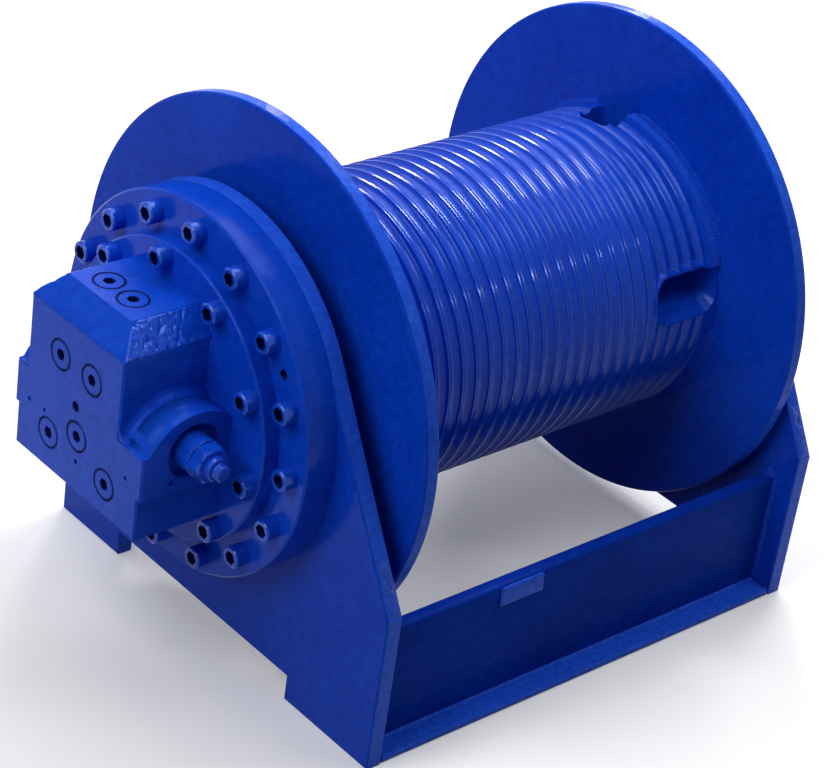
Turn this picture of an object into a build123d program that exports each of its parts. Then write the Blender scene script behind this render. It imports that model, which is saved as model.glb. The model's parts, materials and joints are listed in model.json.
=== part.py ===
from build123d import *
from math import acos, atan2, cos, degrees, hypot, pi, radians, sin, tan
import os

# Hydraulic drum winch, in millimetres.
# Every piece is drawn about the drum axis: x runs along it from the motor end, y points to the
# back and z up, and x = 0 is the outer face of the motor-side drum flange.
# The last section moves the whole winch so that its origin is the bottom centre of its box.

# Rope drum
FLANGE_DIAMETER = 580.0
FLANGE_THICKNESS = 18.0
DRUM_WIDTH = 514.0
BARREL_WALL = 25.0
EDGE_CHAMFER = 2.0
ROPE_DIAMETER = 18.0
ROPE_GAP = 1.0
GROOVE_CLEARANCE = 0.6
GROOVE_DEPTH = 5.5
RISER_WIDTH = 17.0
RISER_HEIGHT = 6.0
POCKET_WIDTH = 94.0
POCKET_LENGTH = 42.0
POCKET_ANGLE = 167.0
POCKET_TILT = 38.0
POCKET_MARGIN = 3.0
NOTCH_WIDTH = 44.0
NOTCH_LENGTH = 48.0
NOTCH_CORNER = 9.0
NOTCH_ANGLE = 83.0

# Planetary gears
GEAR_MODULE = 4.0
SUN_TEETH = 18
PLANET_TEETH = 24
PLANET_COUNT = 3
GEAR_WIDTH = 40.0
RING_OVERHANG = 2.0
RING_WALL = 13.0
PRESSURE_ANGLE = radians(20)
ADDENDUM = 1.0
DEDENDUM = 1.25
BACKLASH = 0.3
PIN_RADIUS = 14.0
PLANET_BUSH_WALL = 4.0
RETAINER_THICKNESS = 8.0
RETAINER_RIM = 10.0
GEAR_GAP = 6.0
RETAINER_GAP = 2.0

# Housing, main bearing and seal
HOUSING_FLANGE = 38.0
HOUSING_RIM = 23.0
HUB_WALL = 8.0
HUB_LENGTH = 52.0
MAIN_BEARING_SECTION = 32.0
MAIN_BEARING_WIDTH = 24.0
MAIN_BEARING_INSET = 4.0
MAIN_BALL_DIAMETER = 18.0
MAIN_BALL_COUNT = 22
MAIN_SEAL_INSET = 2.0
MAIN_SEAL_WIDTH = 12.0
SPIGOT_WALL = 18.0
SPIGOT_END_GAP = 4.0
REGISTER_STEP = 5.0
END_WALL = 16.0
HOUSING_SCREW_SIZE = 16.0
HOUSING_SCREW_COUNT = 16
HOUSING_SCREW_GAP = 9.0
HOUSING_SCREW_START = 2.0
JACK_HOLE_RADIUS = 5.0
JACK_HOLE_DEPTH = 20.0
JACK_HOLE_ANGLE = 148.0

# Brake, from the motor end to the end wall
BRAKE_DISC_THICKNESS = 3.0
FRICTION_DISC_COUNT = 4
BRAKE_DISC_GAP = 0.3
FRICTION_DISC_MARGIN = 8.0
STEEL_DISC_HUB_GAP = 10.0
PISTON_LENGTH = 24.0
SPRING_LENGTH = 32.0
SPRING_COUNT = 4
SPRING_GAP = 0.2
SPRING_THICKNESS = 3.0
SPRING_HUB_GAP = 25.0
SPRING_BORE_GAP = 6.0
SPACER_WALL = 30.0

# Drive shaft
SHAFT_RADIUS = 22.0
SHAFT_HUB_RADIUS = 30.0
SHAFT_BUSH_WALL = 6.0
SHAFT_SEAL_WALL = 12.0

# Motor flange and gear motor
MOTOR_FLANGE = 20.0
MOTOR_RIM = 1.0
MOTOR_PILOT = 8.0
MOTOR_SCREW_SIZE = 16.0
MOTOR_SCREW_COUNT = 10
MOTOR_SCREW_GAP = 1.0
MOTOR_SCREW_START = 47.0
MOTOR_SCREW_REACH = 22.0
MOTOR_GEAR_MODULE = 3.0
MOTOR_GEAR_TEETH = 18
MOTOR_GEAR_WIDTH = 39.0
IDLER_PIN_RADIUS = 12.0
IDLER_PIN_SEAT = 12.0

# Motor and valve block
BLOCK_DEPTH = 107.0
BLOCK_FRONT_SIDE = 67.0
BLOCK_BACK_SIDE = 92.0
BLOCK_SHOULDER = 97.0
BLOCK_TOP = 125.0
BLOCK_TOP_FRONT = 40.0
BLOCK_TOP_BACK = 66.0
BLOCK_SLOPE_DEPTH = 25.0
BLOCK_BOTTOM = 88.0
BLOCK_WAIST = 40.0
BLOCK_BASE_HALF_WIDTH = 105.0
BLOCK_EDGE_CHAMFER = 2.0
LOBE_HALF_LENGTH = 110.0
LOBE_RADIUS = 63.0
LOBE_SETBACK = 64.0
LOBE_DROP = 17.0
LOBE_FRONT_TOP = 11.0
PLUG_RADIUS = 17.5
PLUG_DEPTH = 14.0
PLUG_CHAMFER = 3.0
PLUG_SOCKET = 12.0
PLUG_SOCKET_DEPTH = 8.0
FRONT_PLUGS = [(37.0, 53.0), (-17.0, 52.0), (49.0, -46.0), (1.0, -24.0), (-50.0, -52.0)]
TOP_PLUGS = [(52.0, 36.0), (52.0, -5.0)]
DRAIN_PORT_PLACE = (6.0, 9.0)
DRAIN_PORT_RADIUS = 5.7
DRAIN_PORT_DEPTH = 15.0
TAPPED_HOLES = [(-1.0, -53.0), (58.0, -24.0), (85.0, -25.0), (-84.0, -25.0)]
TAPPED_HOLE_RADIUS = 2.6
TAPPED_HOLE_DEPTH = 10.0
LOBE_HOLE_SETBACK = 37.0
LOBE_HOLE_DROP = 28.0
SERVICE_PORT_RADIUS = 12.05
SERVICE_PORT_DEPTH = 22.0
SERVICE_PORT_SETBACK = 51.0
SERVICE_PORT_UPPER = 64.0
SERVICE_PORT_LOWER = -14.0

# Relief valve in the front lobe
VALVE_SETBACK = 62.0
VALVE_RISE = 3.0
VALVE_RECESS_RADIUS = 31.0
VALVE_RECESS_DEPTH = 12.0
VALVE_BODY_RADIUS = 21.0
VALVE_SEAT_DEPTH = 38.0
VALVE_BODY_REACH = 17.0
VALVE_NUT_WIDTH = 36.0
VALVE_NUT_LENGTH = 16.0
VALVE_SCREW_RADIUS = 9.0
VALVE_SCREW_REACH = 50.0
VALVE_COLLAR_RADIUS = 13.0
VALVE_COLLAR_LENGTH = 8.0
VALVE_COLLAR_BEVEL = 1.0
VALVE_GROOVE_DEPTH = 1.5

# Far-end bearing
TRUNNION_RADIUS = 35.0
TRUNNION_END_GAP = 8.0
FAR_BEARING_SECTION = 20.0
FAR_BEARING_WIDTH = 24.0
FAR_BALL_DIAMETER = 14.0
FAR_BALL_COUNT = 16
FAR_HOUSING_LIP = 6.0
FAR_SEAL_WALL = 11.0
FAR_HOUSING_WALL = 15.0
FAR_HOUSING_FLANGE = 16.0
FAR_HOUSING_RIM = 14.0
FAR_SCREW_SIZE = 12.0
FAR_SCREW_COUNT = 8
FAR_SCREW_GAP = 5.0
FAR_SCREW_REACH = 16.0
FAR_CAP_RIM = 12.0
FAR_CAP_THICKNESS = 10.0
FAR_CAP_PILOT = 6.0
CAP_SCREW_SIZE = 8.0
CAP_SCREW_COUNT = 6
CAP_SCREW_GAP = 13.0
CAP_SCREW_REACH = 14.0
NIPPLE_RADIUS = 5.0
NIPPLE_LENGTH = 6.0
NIPPLE_TIP_RADIUS = 3.2
NIPPLE_TIP_LENGTH = 6.0

# Frame
PLATE_THICKNESS = 20.0
MOTOR_PLATE_GAP = 24.0
FAR_PLATE_GAP = 10.0
FLOOR_CLEARANCE = 15.0
FRONT_MARGIN = 22.0
FRONT_CORNER_HEIGHT = 185.0
REAR_SETBACK = 54.0
REAR_CORNER_HEIGHT = 140.0
FOOT_HEIGHT = 30.0
FRONT_FOOT_LENGTH = 138.0
REAR_FOOT_LENGTH = 108.0
PLATE_EDGE_CHAMFER = 1.5
WEB_THICKNESS = 18.0
WEB_HEIGHT = 148.0
LIP_DEPTH = 26.0
LIP_THICKNESS = 8.0
TAB_LENGTH = 62.0
TAB_HEIGHT = 20.0
TAB_THICKNESS = 3.0
TAB_PLACE = 170.0
TAB_DROP = 4.0
REAR_MEMBER_THICKNESS = 20.0
REAR_MEMBER_HEIGHT = 80.0
REAR_MEMBER_SETBACK = 11.0

# Fits
RUNNING_CLEARANCE = 0.05
HOLE_CLEARANCE = 0.2
FREE_CLEARANCE = 0.3
SIDE_CLEARANCE = 0.5

# Shares of a bearing ball's radius, a cap screw's thread size and a nut's length
RACE_LIP = 0.6
HEAD_RATIO = 0.75
HEAD_BEVEL = 0.1
SOCKET_WIDTH = 0.86
SOCKET_DEPTH = 0.55
NUT_BEVEL = 0.2

# Places along the axis
flange_motor_in = FLANGE_THICKNESS
flange_far_in = flange_motor_in + DRUM_WIDTH
flange_far_out = flange_far_in + FLANGE_THICKNESS
plate_motor_in = -MOTOR_PLATE_GAP
plate_motor_out = plate_motor_in - PLATE_THICKNESS
plate_far_in = flange_far_out + FAR_PLATE_GAP
plate_far_out = plate_far_in + PLATE_THICKNESS
housing_face = plate_motor_out - HOUSING_FLANGE
motor_face = housing_face - MOTOR_FLANGE
block_face = motor_face - BLOCK_DEPTH

# Radii that follow from the gears
RING_TEETH = SUN_TEETH + 2 * PLANET_TEETH
sun_pitch = SUN_TEETH * GEAR_MODULE / 2
planet_pitch = PLANET_TEETH * GEAR_MODULE / 2
ring_pitch = RING_TEETH * GEAR_MODULE / 2
planet_circle = sun_pitch + planet_pitch
barrel_bore = ring_pitch + DEDENDUM * GEAR_MODULE + RING_WALL
barrel_crest = barrel_bore + BARREL_WALL
hub_bore = barrel_bore - HUB_WALL
spigot_radius = hub_bore - MAIN_BEARING_SECTION
cavity_radius = spigot_radius - SPIGOT_WALL
register_radius = spigot_radius + REGISTER_STEP

# Screw circles and flange rims, outwards from the corners of the motor block
block_corner = max(hypot(BLOCK_BACK_SIDE, BLOCK_SHOULDER), hypot(BLOCK_BASE_HALF_WIDTH, BLOCK_BOTTOM))
motor_screw_head = MOTOR_SCREW_SIZE * HEAD_RATIO
housing_screw_head = HOUSING_SCREW_SIZE * HEAD_RATIO
motor_screw_circle = block_corner + MOTOR_SCREW_GAP + motor_screw_head
motor_flange_radius = motor_screw_circle + motor_screw_head + MOTOR_RIM
housing_screw_circle = motor_flange_radius + HOUSING_SCREW_GAP + housing_screw_head
housing_radius = housing_screw_circle + HOUSING_RIM

# Brake and gear places inside the spigot
end_wall_start = HUB_LENGTH + SPIGOT_END_GAP
end_wall_end = end_wall_start + END_WALL
spring_start = end_wall_start - SPRING_LENGTH
piston_start = spring_start - PISTON_LENGTH
disc_pitch = BRAKE_DISC_THICKNESS + BRAKE_DISC_GAP
steel_disc_count = FRICTION_DISC_COUNT + 1
pack_start = piston_start - (FRICTION_DISC_COUNT + steel_disc_count) * disc_pitch
pilot_end = housing_face + MOTOR_PILOT
gear_start = end_wall_end + GEAR_GAP
gear_end = gear_start + GEAR_WIDTH
retainer_start = gear_end + RETAINER_GAP
retainer_end = retainer_start + RETAINER_THICKNESS

# Motor gear places
motor_pitch = MOTOR_GEAR_TEETH * MOTOR_GEAR_MODULE / 2
motor_tip = motor_pitch + ADDENDUM * MOTOR_GEAR_MODULE
motor_gear_end = motor_face - SIDE_CLEARANCE
motor_gear_start = motor_gear_end - MOTOR_GEAR_WIDTH
motor_cavity_start = motor_gear_start - SIDE_CLEARANCE
idler_height = 2 * motor_pitch

# Frame places
flange_radius = FLANGE_DIAMETER / 2
axis_height = flange_radius + FLOOR_CLEARANCE
floor = -axis_height
front = -(flange_radius + FRONT_MARGIN)
rear = flange_radius - REAR_SETBACK


def turned(*corners):
    """Solid turned about the drum axis from its (x, radius) corners."""
    return revolve(make_face(Polyline(*corners, close=True)), Axis.X)


def ring(start, end, outside, bore=0.0):
    """Plain ring or disc about the drum axis."""
    return turned((start, bore), (end, bore), (end, outside), (start, outside))


def rimmed_disc(start, end, outside, bore, chamfer):
    """Disc about the drum axis with both edges of its rim broken."""
    return turned(
        (start, bore), (end, bore), (end, outside - chamfer), (end - chamfer, outside),
        (start + chamfer, outside), (start, outside - chamfer),
    )


def prism(corners, start, end):
    """Solid of a (y, z) outline between two places along the axis."""
    return extrude(Plane.YZ.offset(start) * make_face(Polyline(*corners, close=True)), amount=end - start)


def slab(low, high):
    """Box between two corners."""
    size = [b - a for a, b in zip(low, high)]
    centre = [(a + b) / 2 for a, b in zip(low, high)]
    return Pos(*centre) * Box(*size)


def rod(start, end, radius, place=(0.0, 0.0)):
    """Round bar along x at a (y, z) place."""
    return Pos(0, *place) * ring(start, end, radius)


def cross_rod(start, end, radius, place):
    """Round bar along y at an (x, z) place."""
    return Pos(place[0], (start + end) / 2, place[1]) * Rot(90, 0, 0) * Cylinder(radius, abs(end - start))


def around(count, radius, first=0.0):
    """Places (y, z) spaced evenly on a circle, from an angle measured from +y towards +z."""
    turns = [radians(first) + 2 * pi * number / count for number in range(count)]
    return [(radius * cos(turn), radius * sin(turn)) for turn in turns]


def hexagon_bar(start, end, width):
    """Hexagon bar along x, given its width across flats."""
    outline = Plane.YZ.offset(start) * RegularPolygon(width / 2, 6, major_radius=False)
    return extrude(outline, amount=end - start)


def group(pieces):
    """Several separate solids kept as one node."""
    return Compound(children=[piece.solid() for piece in pieces])


def cap_screw(size, reach):
    """Socket cap screw along x: seat at x = 0, head towards -x, thread towards +x."""
    socket = hexagon_bar(-size, -size * (1 - SOCKET_DEPTH), size * SOCKET_WIDTH)
    radius = size * HEAD_RATIO
    bevel = size * HEAD_BEVEL
    head = turned((-size, 0), (0, 0), (0, radius), (bevel - size, radius), (-size, radius - bevel))
    return head + ring(0, reach, size / 2) - socket


def screws_at(places, seat, size, reach):
    """Group of cap screws whose heads point to the motor end."""
    return group([Pos(seat, *place) * cap_screw(size, reach) for place in places])


def far_screws_at(places, seat, size, reach):
    """Group of cap screws whose heads point away from the motor end."""
    return group([Pos(seat, *place) * Rot(0, 180, 0) * cap_screw(size, reach) for place in places])


def bored(body, places, start, end, radius):
    """Body with holes along x at (y, z) places."""
    return body - [rod(start, end, radius, place) for place in places]


def tooth_half_angle(radius, teeth, module, play):
    """Half the angle that an involute tooth takes at a radius, thinned by half the play."""
    pitch = teeth * module / 2
    base = pitch * cos(PRESSURE_ANGLE)
    widest = (pi * module - play) / (4 * pitch) + tan(PRESSURE_ANGLE) - PRESSURE_ANGLE
    if radius <= base:
        return widest
    opening = acos(base / radius)
    return widest - (tan(opening) - opening)


def gear_face(teeth, module, tip, root, play, turn):
    """Gear outline: each flank is the involute at root or base, middle and tip."""
    base = teeth * module / 2 * cos(PRESSURE_ANGLE)
    low = max(root, base)
    radii = [root, low, (low + tip) / 2, tip] if root < base else [root, (root + tip) / 2, tip]
    corners = []
    for tooth in range(teeth):
        middle = turn + 2 * pi * tooth / teeth
        halves = [(radius, tooth_half_angle(radius, teeth, module, play)) for radius in radii]
        rising = [(radius, middle - half) for radius, half in halves]
        falling = [(radius, middle + half) for radius, half in reversed(halves)]
        corners += [(radius * cos(angle), radius * sin(angle)) for radius, angle in rising + falling]
    return make_face(Polyline(*corners, close=True))


def spur_gear(teeth, module, start, end, bore, turn=0.0):
    """External gear about the x axis."""
    pitch = teeth * module / 2
    outline = gear_face(teeth, module, pitch + ADDENDUM * module, pitch - DEDENDUM * module, BACKLASH, turn)
    return extrude(Plane.YZ.offset(start) * outline, amount=end - start) - ring(start, end, bore)


def bearing(start, width, bore, outside, ball, count):
    """Inner ring, balls and outer ring of a ball bearing about the drum axis."""
    middle = start + width / 2
    track = (bore + outside) / 2
    lip = RACE_LIP * ball / 2
    groove = Pos(middle, 0, 0) * Rot(0, 90, 0) * Torus(track, ball / 2 + FREE_CLEARANCE)
    inner = ring(start, start + width, track - lip, bore) - groove
    outer = ring(start, start + width, outside, track + lip) - groove
    balls = group([Pos(middle, *place) * Sphere(ball / 2) for place in around(count, track)])
    return inner, balls, outer


def tangent_place(y, z, radius, side):
    """Where a line from (y, z) touches the circle about the axis, on the given side of it."""
    turn = atan2(z, y) + side * acos(radius / hypot(y, z))
    return radius * cos(turn), radius * sin(turn)


# Drum

def grooved_barrel():
    """Barrel whose outside is a row of round-bottomed rope grooves, then a plain land."""
    groove_radius = ROPE_DIAMETER / 2 + GROOVE_CLEARANCE
    pitch = ROPE_DIAMETER + ROPE_GAP
    count = int((DRUM_WIDTH - RISER_WIDTH) / pitch)
    half_width = (groove_radius**2 - (groove_radius - GROOVE_DEPTH) ** 2) ** 0.5
    edges = []
    last = (flange_motor_in, barrel_crest)
    for number in range(count):
        middle = flange_motor_in + pitch * (number + 0.5)
        near = (middle - half_width, barrel_crest)
        away = (middle + half_width, barrel_crest)
        edges.append(Line(last, near))
        edges.append(ThreePointArc(near, (middle, barrel_crest - GROOVE_DEPTH), away))
        last = away
    edges.append(Polyline(
        last, (flange_far_in, barrel_crest), (flange_far_in, barrel_bore),
        (flange_motor_in, barrel_bore), (flange_motor_in, barrel_crest),
    ))
    return revolve(make_face(Curve() + edges), Axis.X)


def opening_plane(angle, tilt, middle):
    """Plane on the barrel at an angle, facing outwards and leaned by the tilt."""
    turn = radians(angle)
    lean = radians(angle + tilt)
    place = (middle, barrel_crest * cos(turn), barrel_crest * sin(turn))
    return Plane(origin=place, x_dir=(1, 0, 0), z_dir=(0, cos(lean), sin(lean)))


def drum_barrel():
    """Barrel with the slanted rope pocket and the square rope notch beside the far flange."""
    pocket_middle = flange_far_in - POCKET_MARGIN - POCKET_WIDTH / 2
    pocket_plane = opening_plane(POCKET_ANGLE, POCKET_TILT, pocket_middle)
    pocket = pocket_plane * SlotOverall(POCKET_WIDTH, POCKET_LENGTH)
    notch_middle = flange_far_in - NOTCH_WIDTH / 2
    notch_plane = opening_plane(NOTCH_ANGLE, 0, notch_middle)
    notch = notch_plane * RectangleRounded(NOTCH_WIDTH, NOTCH_LENGTH, NOTCH_CORNER)
    reach = 2 * BARREL_WALL
    return grooved_barrel() - extrude(pocket, reach, both=True) - extrude(notch, reach, both=True)


def riser_strip():
    """Raised strip on the land beside the far flange, from the notch round to the pocket."""
    notch_half = degrees(NOTCH_LENGTH / 2 / barrel_crest)
    pocket_half = degrees(POCKET_LENGTH / 2 / barrel_crest / cos(radians(POCKET_TILT)))
    first = NOTCH_ANGLE + notch_half
    sweep = POCKET_ANGLE - pocket_half - first
    low = flange_far_in - RISER_WIDTH
    section = make_face(Polyline(
        (low, barrel_crest), (flange_far_in, barrel_crest), (flange_far_in, barrel_crest + RISER_HEIGHT),
        (low + RISER_HEIGHT / 2, barrel_crest + RISER_HEIGHT), close=True,
    ))
    return Rot(first, 0, 0) * revolve(section, Axis.X, sweep)


def drum_flange(start):
    """Drum flange with a broken rim."""
    return rimmed_disc(start, start + FLANGE_THICKNESS, flange_radius, barrel_bore, EDGE_CHAMFER)


def ring_gear():
    """Internal gear fixed in the barrel, with a tooth on the +y side at rest."""
    start = gear_start - RING_OVERHANG
    end = gear_end + RING_OVERHANG
    spaces = gear_face(
        RING_TEETH, GEAR_MODULE, ring_pitch + DEDENDUM * GEAR_MODULE,
        ring_pitch - ADDENDUM * GEAR_MODULE, -BACKLASH, pi / RING_TEETH,
    )
    return ring(start, end, barrel_bore) - extrude(Plane.YZ.offset(start) * spaces, amount=end - start)


main_bearing_start = flange_motor_in + MAIN_BEARING_INSET
main_inner, main_balls, main_outer = bearing(
    main_bearing_start, MAIN_BEARING_WIDTH, spigot_radius, hub_bore, MAIN_BALL_DIAMETER, MAIN_BALL_COUNT,
)
main_seal_end = MAIN_SEAL_INSET + MAIN_SEAL_WIDTH
trunnion_end = plate_far_out + FAR_HOUSING_FLANGE - TRUNNION_END_GAP

drum = {
    "drum_barrel": drum_barrel(),
    "drum_flange_motor_side": drum_flange(0.0),
    "drum_flange_far_side": drum_flange(flange_far_in),
    "riser_strip": riser_strip(),
    "drum_hub_ring": ring(0.0, HUB_LENGTH, barrel_bore, hub_bore),
    "main_seal": ring(MAIN_SEAL_INSET, main_seal_end, hub_bore, spigot_radius + RUNNING_CLEARANCE),
    "main_bearing_outer_ring": main_outer,
    "ring_gear": ring_gear(),
    "drum_end_disc": ring(flange_far_in, flange_far_out, barrel_bore, TRUNNION_RADIUS),
    "trunnion": ring(flange_far_in, trunnion_end, TRUNNION_RADIUS),
}


# Far-end bearing

far_bearing_outside = TRUNNION_RADIUS + FAR_BEARING_SECTION
far_spigot_radius = far_bearing_outside + FAR_HOUSING_WALL
cap_screw_circle = far_bearing_outside + CAP_SCREW_GAP
far_cap_radius = cap_screw_circle + FAR_CAP_RIM
far_screw_circle = far_cap_radius + FAR_SCREW_GAP + FAR_SCREW_SIZE * HEAD_RATIO
far_housing_radius = far_screw_circle + FAR_HOUSING_RIM
far_lip_end = plate_far_in + FAR_HOUSING_LIP
far_flange_face = plate_far_out + FAR_HOUSING_FLANGE
far_cap_face = far_flange_face + FAR_CAP_THICKNESS
nipple_end = far_cap_face + NIPPLE_LENGTH
far_screw_places = around(FAR_SCREW_COUNT, far_screw_circle)
cap_screw_places = around(CAP_SCREW_COUNT, cap_screw_circle)


def far_bearing_housing():
    """Flanged bearing housing seated in the far plate."""
    body = turned(
        (plate_far_in, TRUNNION_RADIUS + FAR_SEAL_WALL), (far_lip_end, TRUNNION_RADIUS + FAR_SEAL_WALL),
        (far_lip_end, far_bearing_outside), (far_flange_face, far_bearing_outside),
        (far_flange_face, far_housing_radius - EDGE_CHAMFER),
        (far_flange_face - EDGE_CHAMFER, far_housing_radius), (plate_far_out, far_housing_radius),
        (plate_far_out, far_spigot_radius), (plate_far_in, far_spigot_radius),
    )
    body = bored(body, far_screw_places, plate_far_out, far_flange_face, FAR_SCREW_SIZE / 2 + HOLE_CLEARANCE)
    tapped_start = far_flange_face - CAP_SCREW_REACH
    return bored(body, cap_screw_places, tapped_start, far_flange_face, CAP_SCREW_SIZE / 2 + HOLE_CLEARANCE)


def far_bearing_cap():
    """Cover that closes the far bearing, with a pilot in the housing bore."""
    pilot_start = far_flange_face - FAR_CAP_PILOT
    body = rimmed_disc(far_flange_face, far_cap_face, far_cap_radius, 0.0, EDGE_CHAMFER)
    pilot_radius = far_bearing_outside - RUNNING_CLEARANCE
    body += ring(pilot_start, far_flange_face, pilot_radius, pilot_radius - FAR_HOUSING_LIP)
    return bored(body, cap_screw_places, far_flange_face, far_cap_face, CAP_SCREW_SIZE / 2 + HOLE_CLEARANCE)


def grease_nipple():
    """Grease nipple on the middle of the cap."""
    return ring(far_cap_face, nipple_end, NIPPLE_RADIUS) + turned(
        (nipple_end, 0), (nipple_end + NIPPLE_TIP_LENGTH, 0),
        (nipple_end + NIPPLE_TIP_LENGTH, NIPPLE_TIP_RADIUS / 2),
        (nipple_end + NIPPLE_TIP_LENGTH / 2, NIPPLE_TIP_RADIUS), (nipple_end, NIPPLE_TIP_RADIUS),
    )


far_inner, far_balls, far_outer = bearing(
    far_lip_end, FAR_BEARING_WIDTH, TRUNNION_RADIUS, far_bearing_outside, FAR_BALL_DIAMETER, FAR_BALL_COUNT,
)
drum["far_bearing_inner_ring"] = far_inner
far_seal_bore = TRUNNION_RADIUS + RUNNING_CLEARANCE

far_end = {
    "far_bearing_outer_ring": far_outer,
    "far_bearing_housing": far_bearing_housing(),
    "far_seal": ring(plate_far_in, far_lip_end, TRUNNION_RADIUS + FAR_SEAL_WALL, far_seal_bore),
    "far_housing_screws": far_screws_at(
        far_screw_places, far_flange_face, FAR_SCREW_SIZE, FAR_HOUSING_FLANGE + FAR_SCREW_REACH,
    ),
    "far_bearing_cap": far_bearing_cap(),
    "far_cap_screws": far_screws_at(
        cap_screw_places, far_cap_face, CAP_SCREW_SIZE, FAR_CAP_THICKNESS + CAP_SCREW_REACH,
    ),
    "grease_nipple": grease_nipple(),
}


# Frame

def plate_outline():
    """Side plate: rounded crown about the axis, sloping sides, two feet and a raised edge between."""
    front_corner = (front, floor + FRONT_CORNER_HEIGHT)
    rear_corner = (rear, floor + REAR_CORNER_HEIGHT)
    front_tangent = tangent_place(*front_corner, housing_radius, -1)
    rear_tangent = tangent_place(*rear_corner, housing_radius, 1)
    crown = ThreePointArc(front_tangent, (0, housing_radius), rear_tangent)
    foot_top = floor + FOOT_HEIGHT
    front_step = front + FRONT_FOOT_LENGTH
    rear_step = rear - REAR_FOOT_LENGTH
    sides = Polyline(
        rear_tangent, rear_corner, (rear, floor), (rear_step, floor), (rear_step, foot_top),
        (front_step, foot_top), (front_step, floor), (front, floor), front_corner, front_tangent,
    )
    return make_face(Curve() + [crown, sides])


def side_plate(start, bore, screw_places, screw_size):
    """Side plate with its bearing bore, tapped holes and broken outer edges."""
    plate = extrude(Plane.YZ.offset(start) * plate_outline(), amount=PLATE_THICKNESS)
    faces = plate.faces().sort_by(Axis.X)
    plate = chamfer(faces[0].edges() + faces[-1].edges(), PLATE_EDGE_CHAMFER)
    end = start + PLATE_THICKNESS
    plate -= ring(start, end, bore + HOLE_CLEARANCE)
    return bored(plate, screw_places, start, end, screw_size / 2 + HOLE_CLEARANCE)


web_front = front + LIP_DEPTH
web_rear = web_front + WEB_THICKNESS
web_top = floor + WEB_HEIGHT
lip_top = floor + LIP_THICKNESS
tab_top = web_top - TAB_DROP
rear_member_back = rear - REAR_MEMBER_SETBACK
housing_screw_places = around(HOUSING_SCREW_COUNT, housing_screw_circle, HOUSING_SCREW_START)

frame = {
    "side_plate_motor_end": side_plate(
        plate_motor_out, register_radius, housing_screw_places, HOUSING_SCREW_SIZE,
    ),
    "side_plate_far_end": side_plate(plate_far_in, far_spigot_radius, far_screw_places, FAR_SCREW_SIZE),
    "front_web": slab((plate_motor_in, web_front, floor), (plate_far_in, web_rear, web_top)),
    "front_lip": slab((plate_motor_in, front, floor), (plate_far_in, web_front, lip_top)),
    "front_tab": slab(
        (TAB_PLACE - TAB_LENGTH / 2, web_front - TAB_THICKNESS, tab_top - TAB_HEIGHT),
        (TAB_PLACE + TAB_LENGTH / 2, web_front, tab_top),
    ),
    "rear_cross_member": slab(
        (plate_motor_in, rear_member_back - REAR_MEMBER_THICKNESS, floor),
        (plate_far_in, rear_member_back, floor + REAR_MEMBER_HEIGHT),
    ),
}


# Housing, brake and motor flange

def brake_housing():
    """Round flange on the motor-side plate and the hollow spigot that carries the drum."""
    body = turned(
        (housing_face, cavity_radius), (end_wall_start, cavity_radius),
        (end_wall_start, SHAFT_RADIUS + SHAFT_BUSH_WALL), (end_wall_end, SHAFT_RADIUS + SHAFT_BUSH_WALL),
        (end_wall_end, spigot_radius), (plate_motor_in, spigot_radius), (plate_motor_in, register_radius),
        (plate_motor_out, register_radius), (plate_motor_out, housing_radius),
        (housing_face + EDGE_CHAMFER, housing_radius), (housing_face, housing_radius - EDGE_CHAMFER),
    )
    body = bored(
        body, housing_screw_places, housing_face, plate_motor_out, HOUSING_SCREW_SIZE / 2 + HOLE_CLEARANCE,
    )
    tapped_end = housing_face + MOTOR_SCREW_REACH
    body = bored(body, motor_screw_places, housing_face, tapped_end, MOTOR_SCREW_SIZE / 2 + HOLE_CLEARANCE)
    jack_place = around(1, housing_screw_circle, JACK_HOLE_ANGLE)
    body = bored(body, jack_place, housing_face, housing_face + JACK_HOLE_DEPTH, JACK_HOLE_RADIUS)
    return bored(body, planet_places, end_wall_start, end_wall_end, PIN_RADIUS)


def motor_flange():
    """Raised flange that closes the brake and carries the motor block."""
    seal_radius = SHAFT_RADIUS + SHAFT_SEAL_WALL
    body = turned(
        (motor_face, SHAFT_RADIUS + FREE_CLEARANCE), (housing_face, SHAFT_RADIUS + FREE_CLEARANCE),
        (housing_face, seal_radius), (pilot_end, seal_radius), (pilot_end, cavity_radius),
        (housing_face, cavity_radius), (housing_face, motor_flange_radius),
        (motor_face + EDGE_CHAMFER, motor_flange_radius), (motor_face, motor_flange_radius - EDGE_CHAMFER),
    )
    body = bored(body, motor_screw_places, motor_face, housing_face, MOTOR_SCREW_SIZE / 2 + HOLE_CLEARANCE)
    idler_place = [(0.0, idler_height)]
    return bored(body, idler_place, motor_face, motor_face + IDLER_PIN_SEAT, IDLER_PIN_RADIUS)


def brake_discs(first, count, outside, bore):
    """Every second disc of the brake pack, counted from the first."""
    starts = [pack_start + disc_pitch * (first + 2 * number) for number in range(count)]
    return group([ring(start, start + BRAKE_DISC_THICKNESS, outside, bore) for start in starts])


def brake_springs():
    """Disc springs in series, each a cone turned against the one before."""
    inside = SHAFT_HUB_RADIUS + SPRING_HUB_GAP
    outside = cavity_radius - SPRING_BORE_GAP
    share = SPRING_LENGTH / SPRING_COUNT
    cones = []
    for number in range(SPRING_COUNT):
        low = spring_start + share * number + SPRING_GAP / 2
        high = low + share - SPRING_GAP
        wide, narrow = (outside, inside) if number % 2 else (inside, outside)
        cones.append(turned(
            (low, narrow), (low + SPRING_THICKNESS, narrow), (high, wide), (high - SPRING_THICKNESS, wide),
        ))
    return group(cones)


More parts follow.
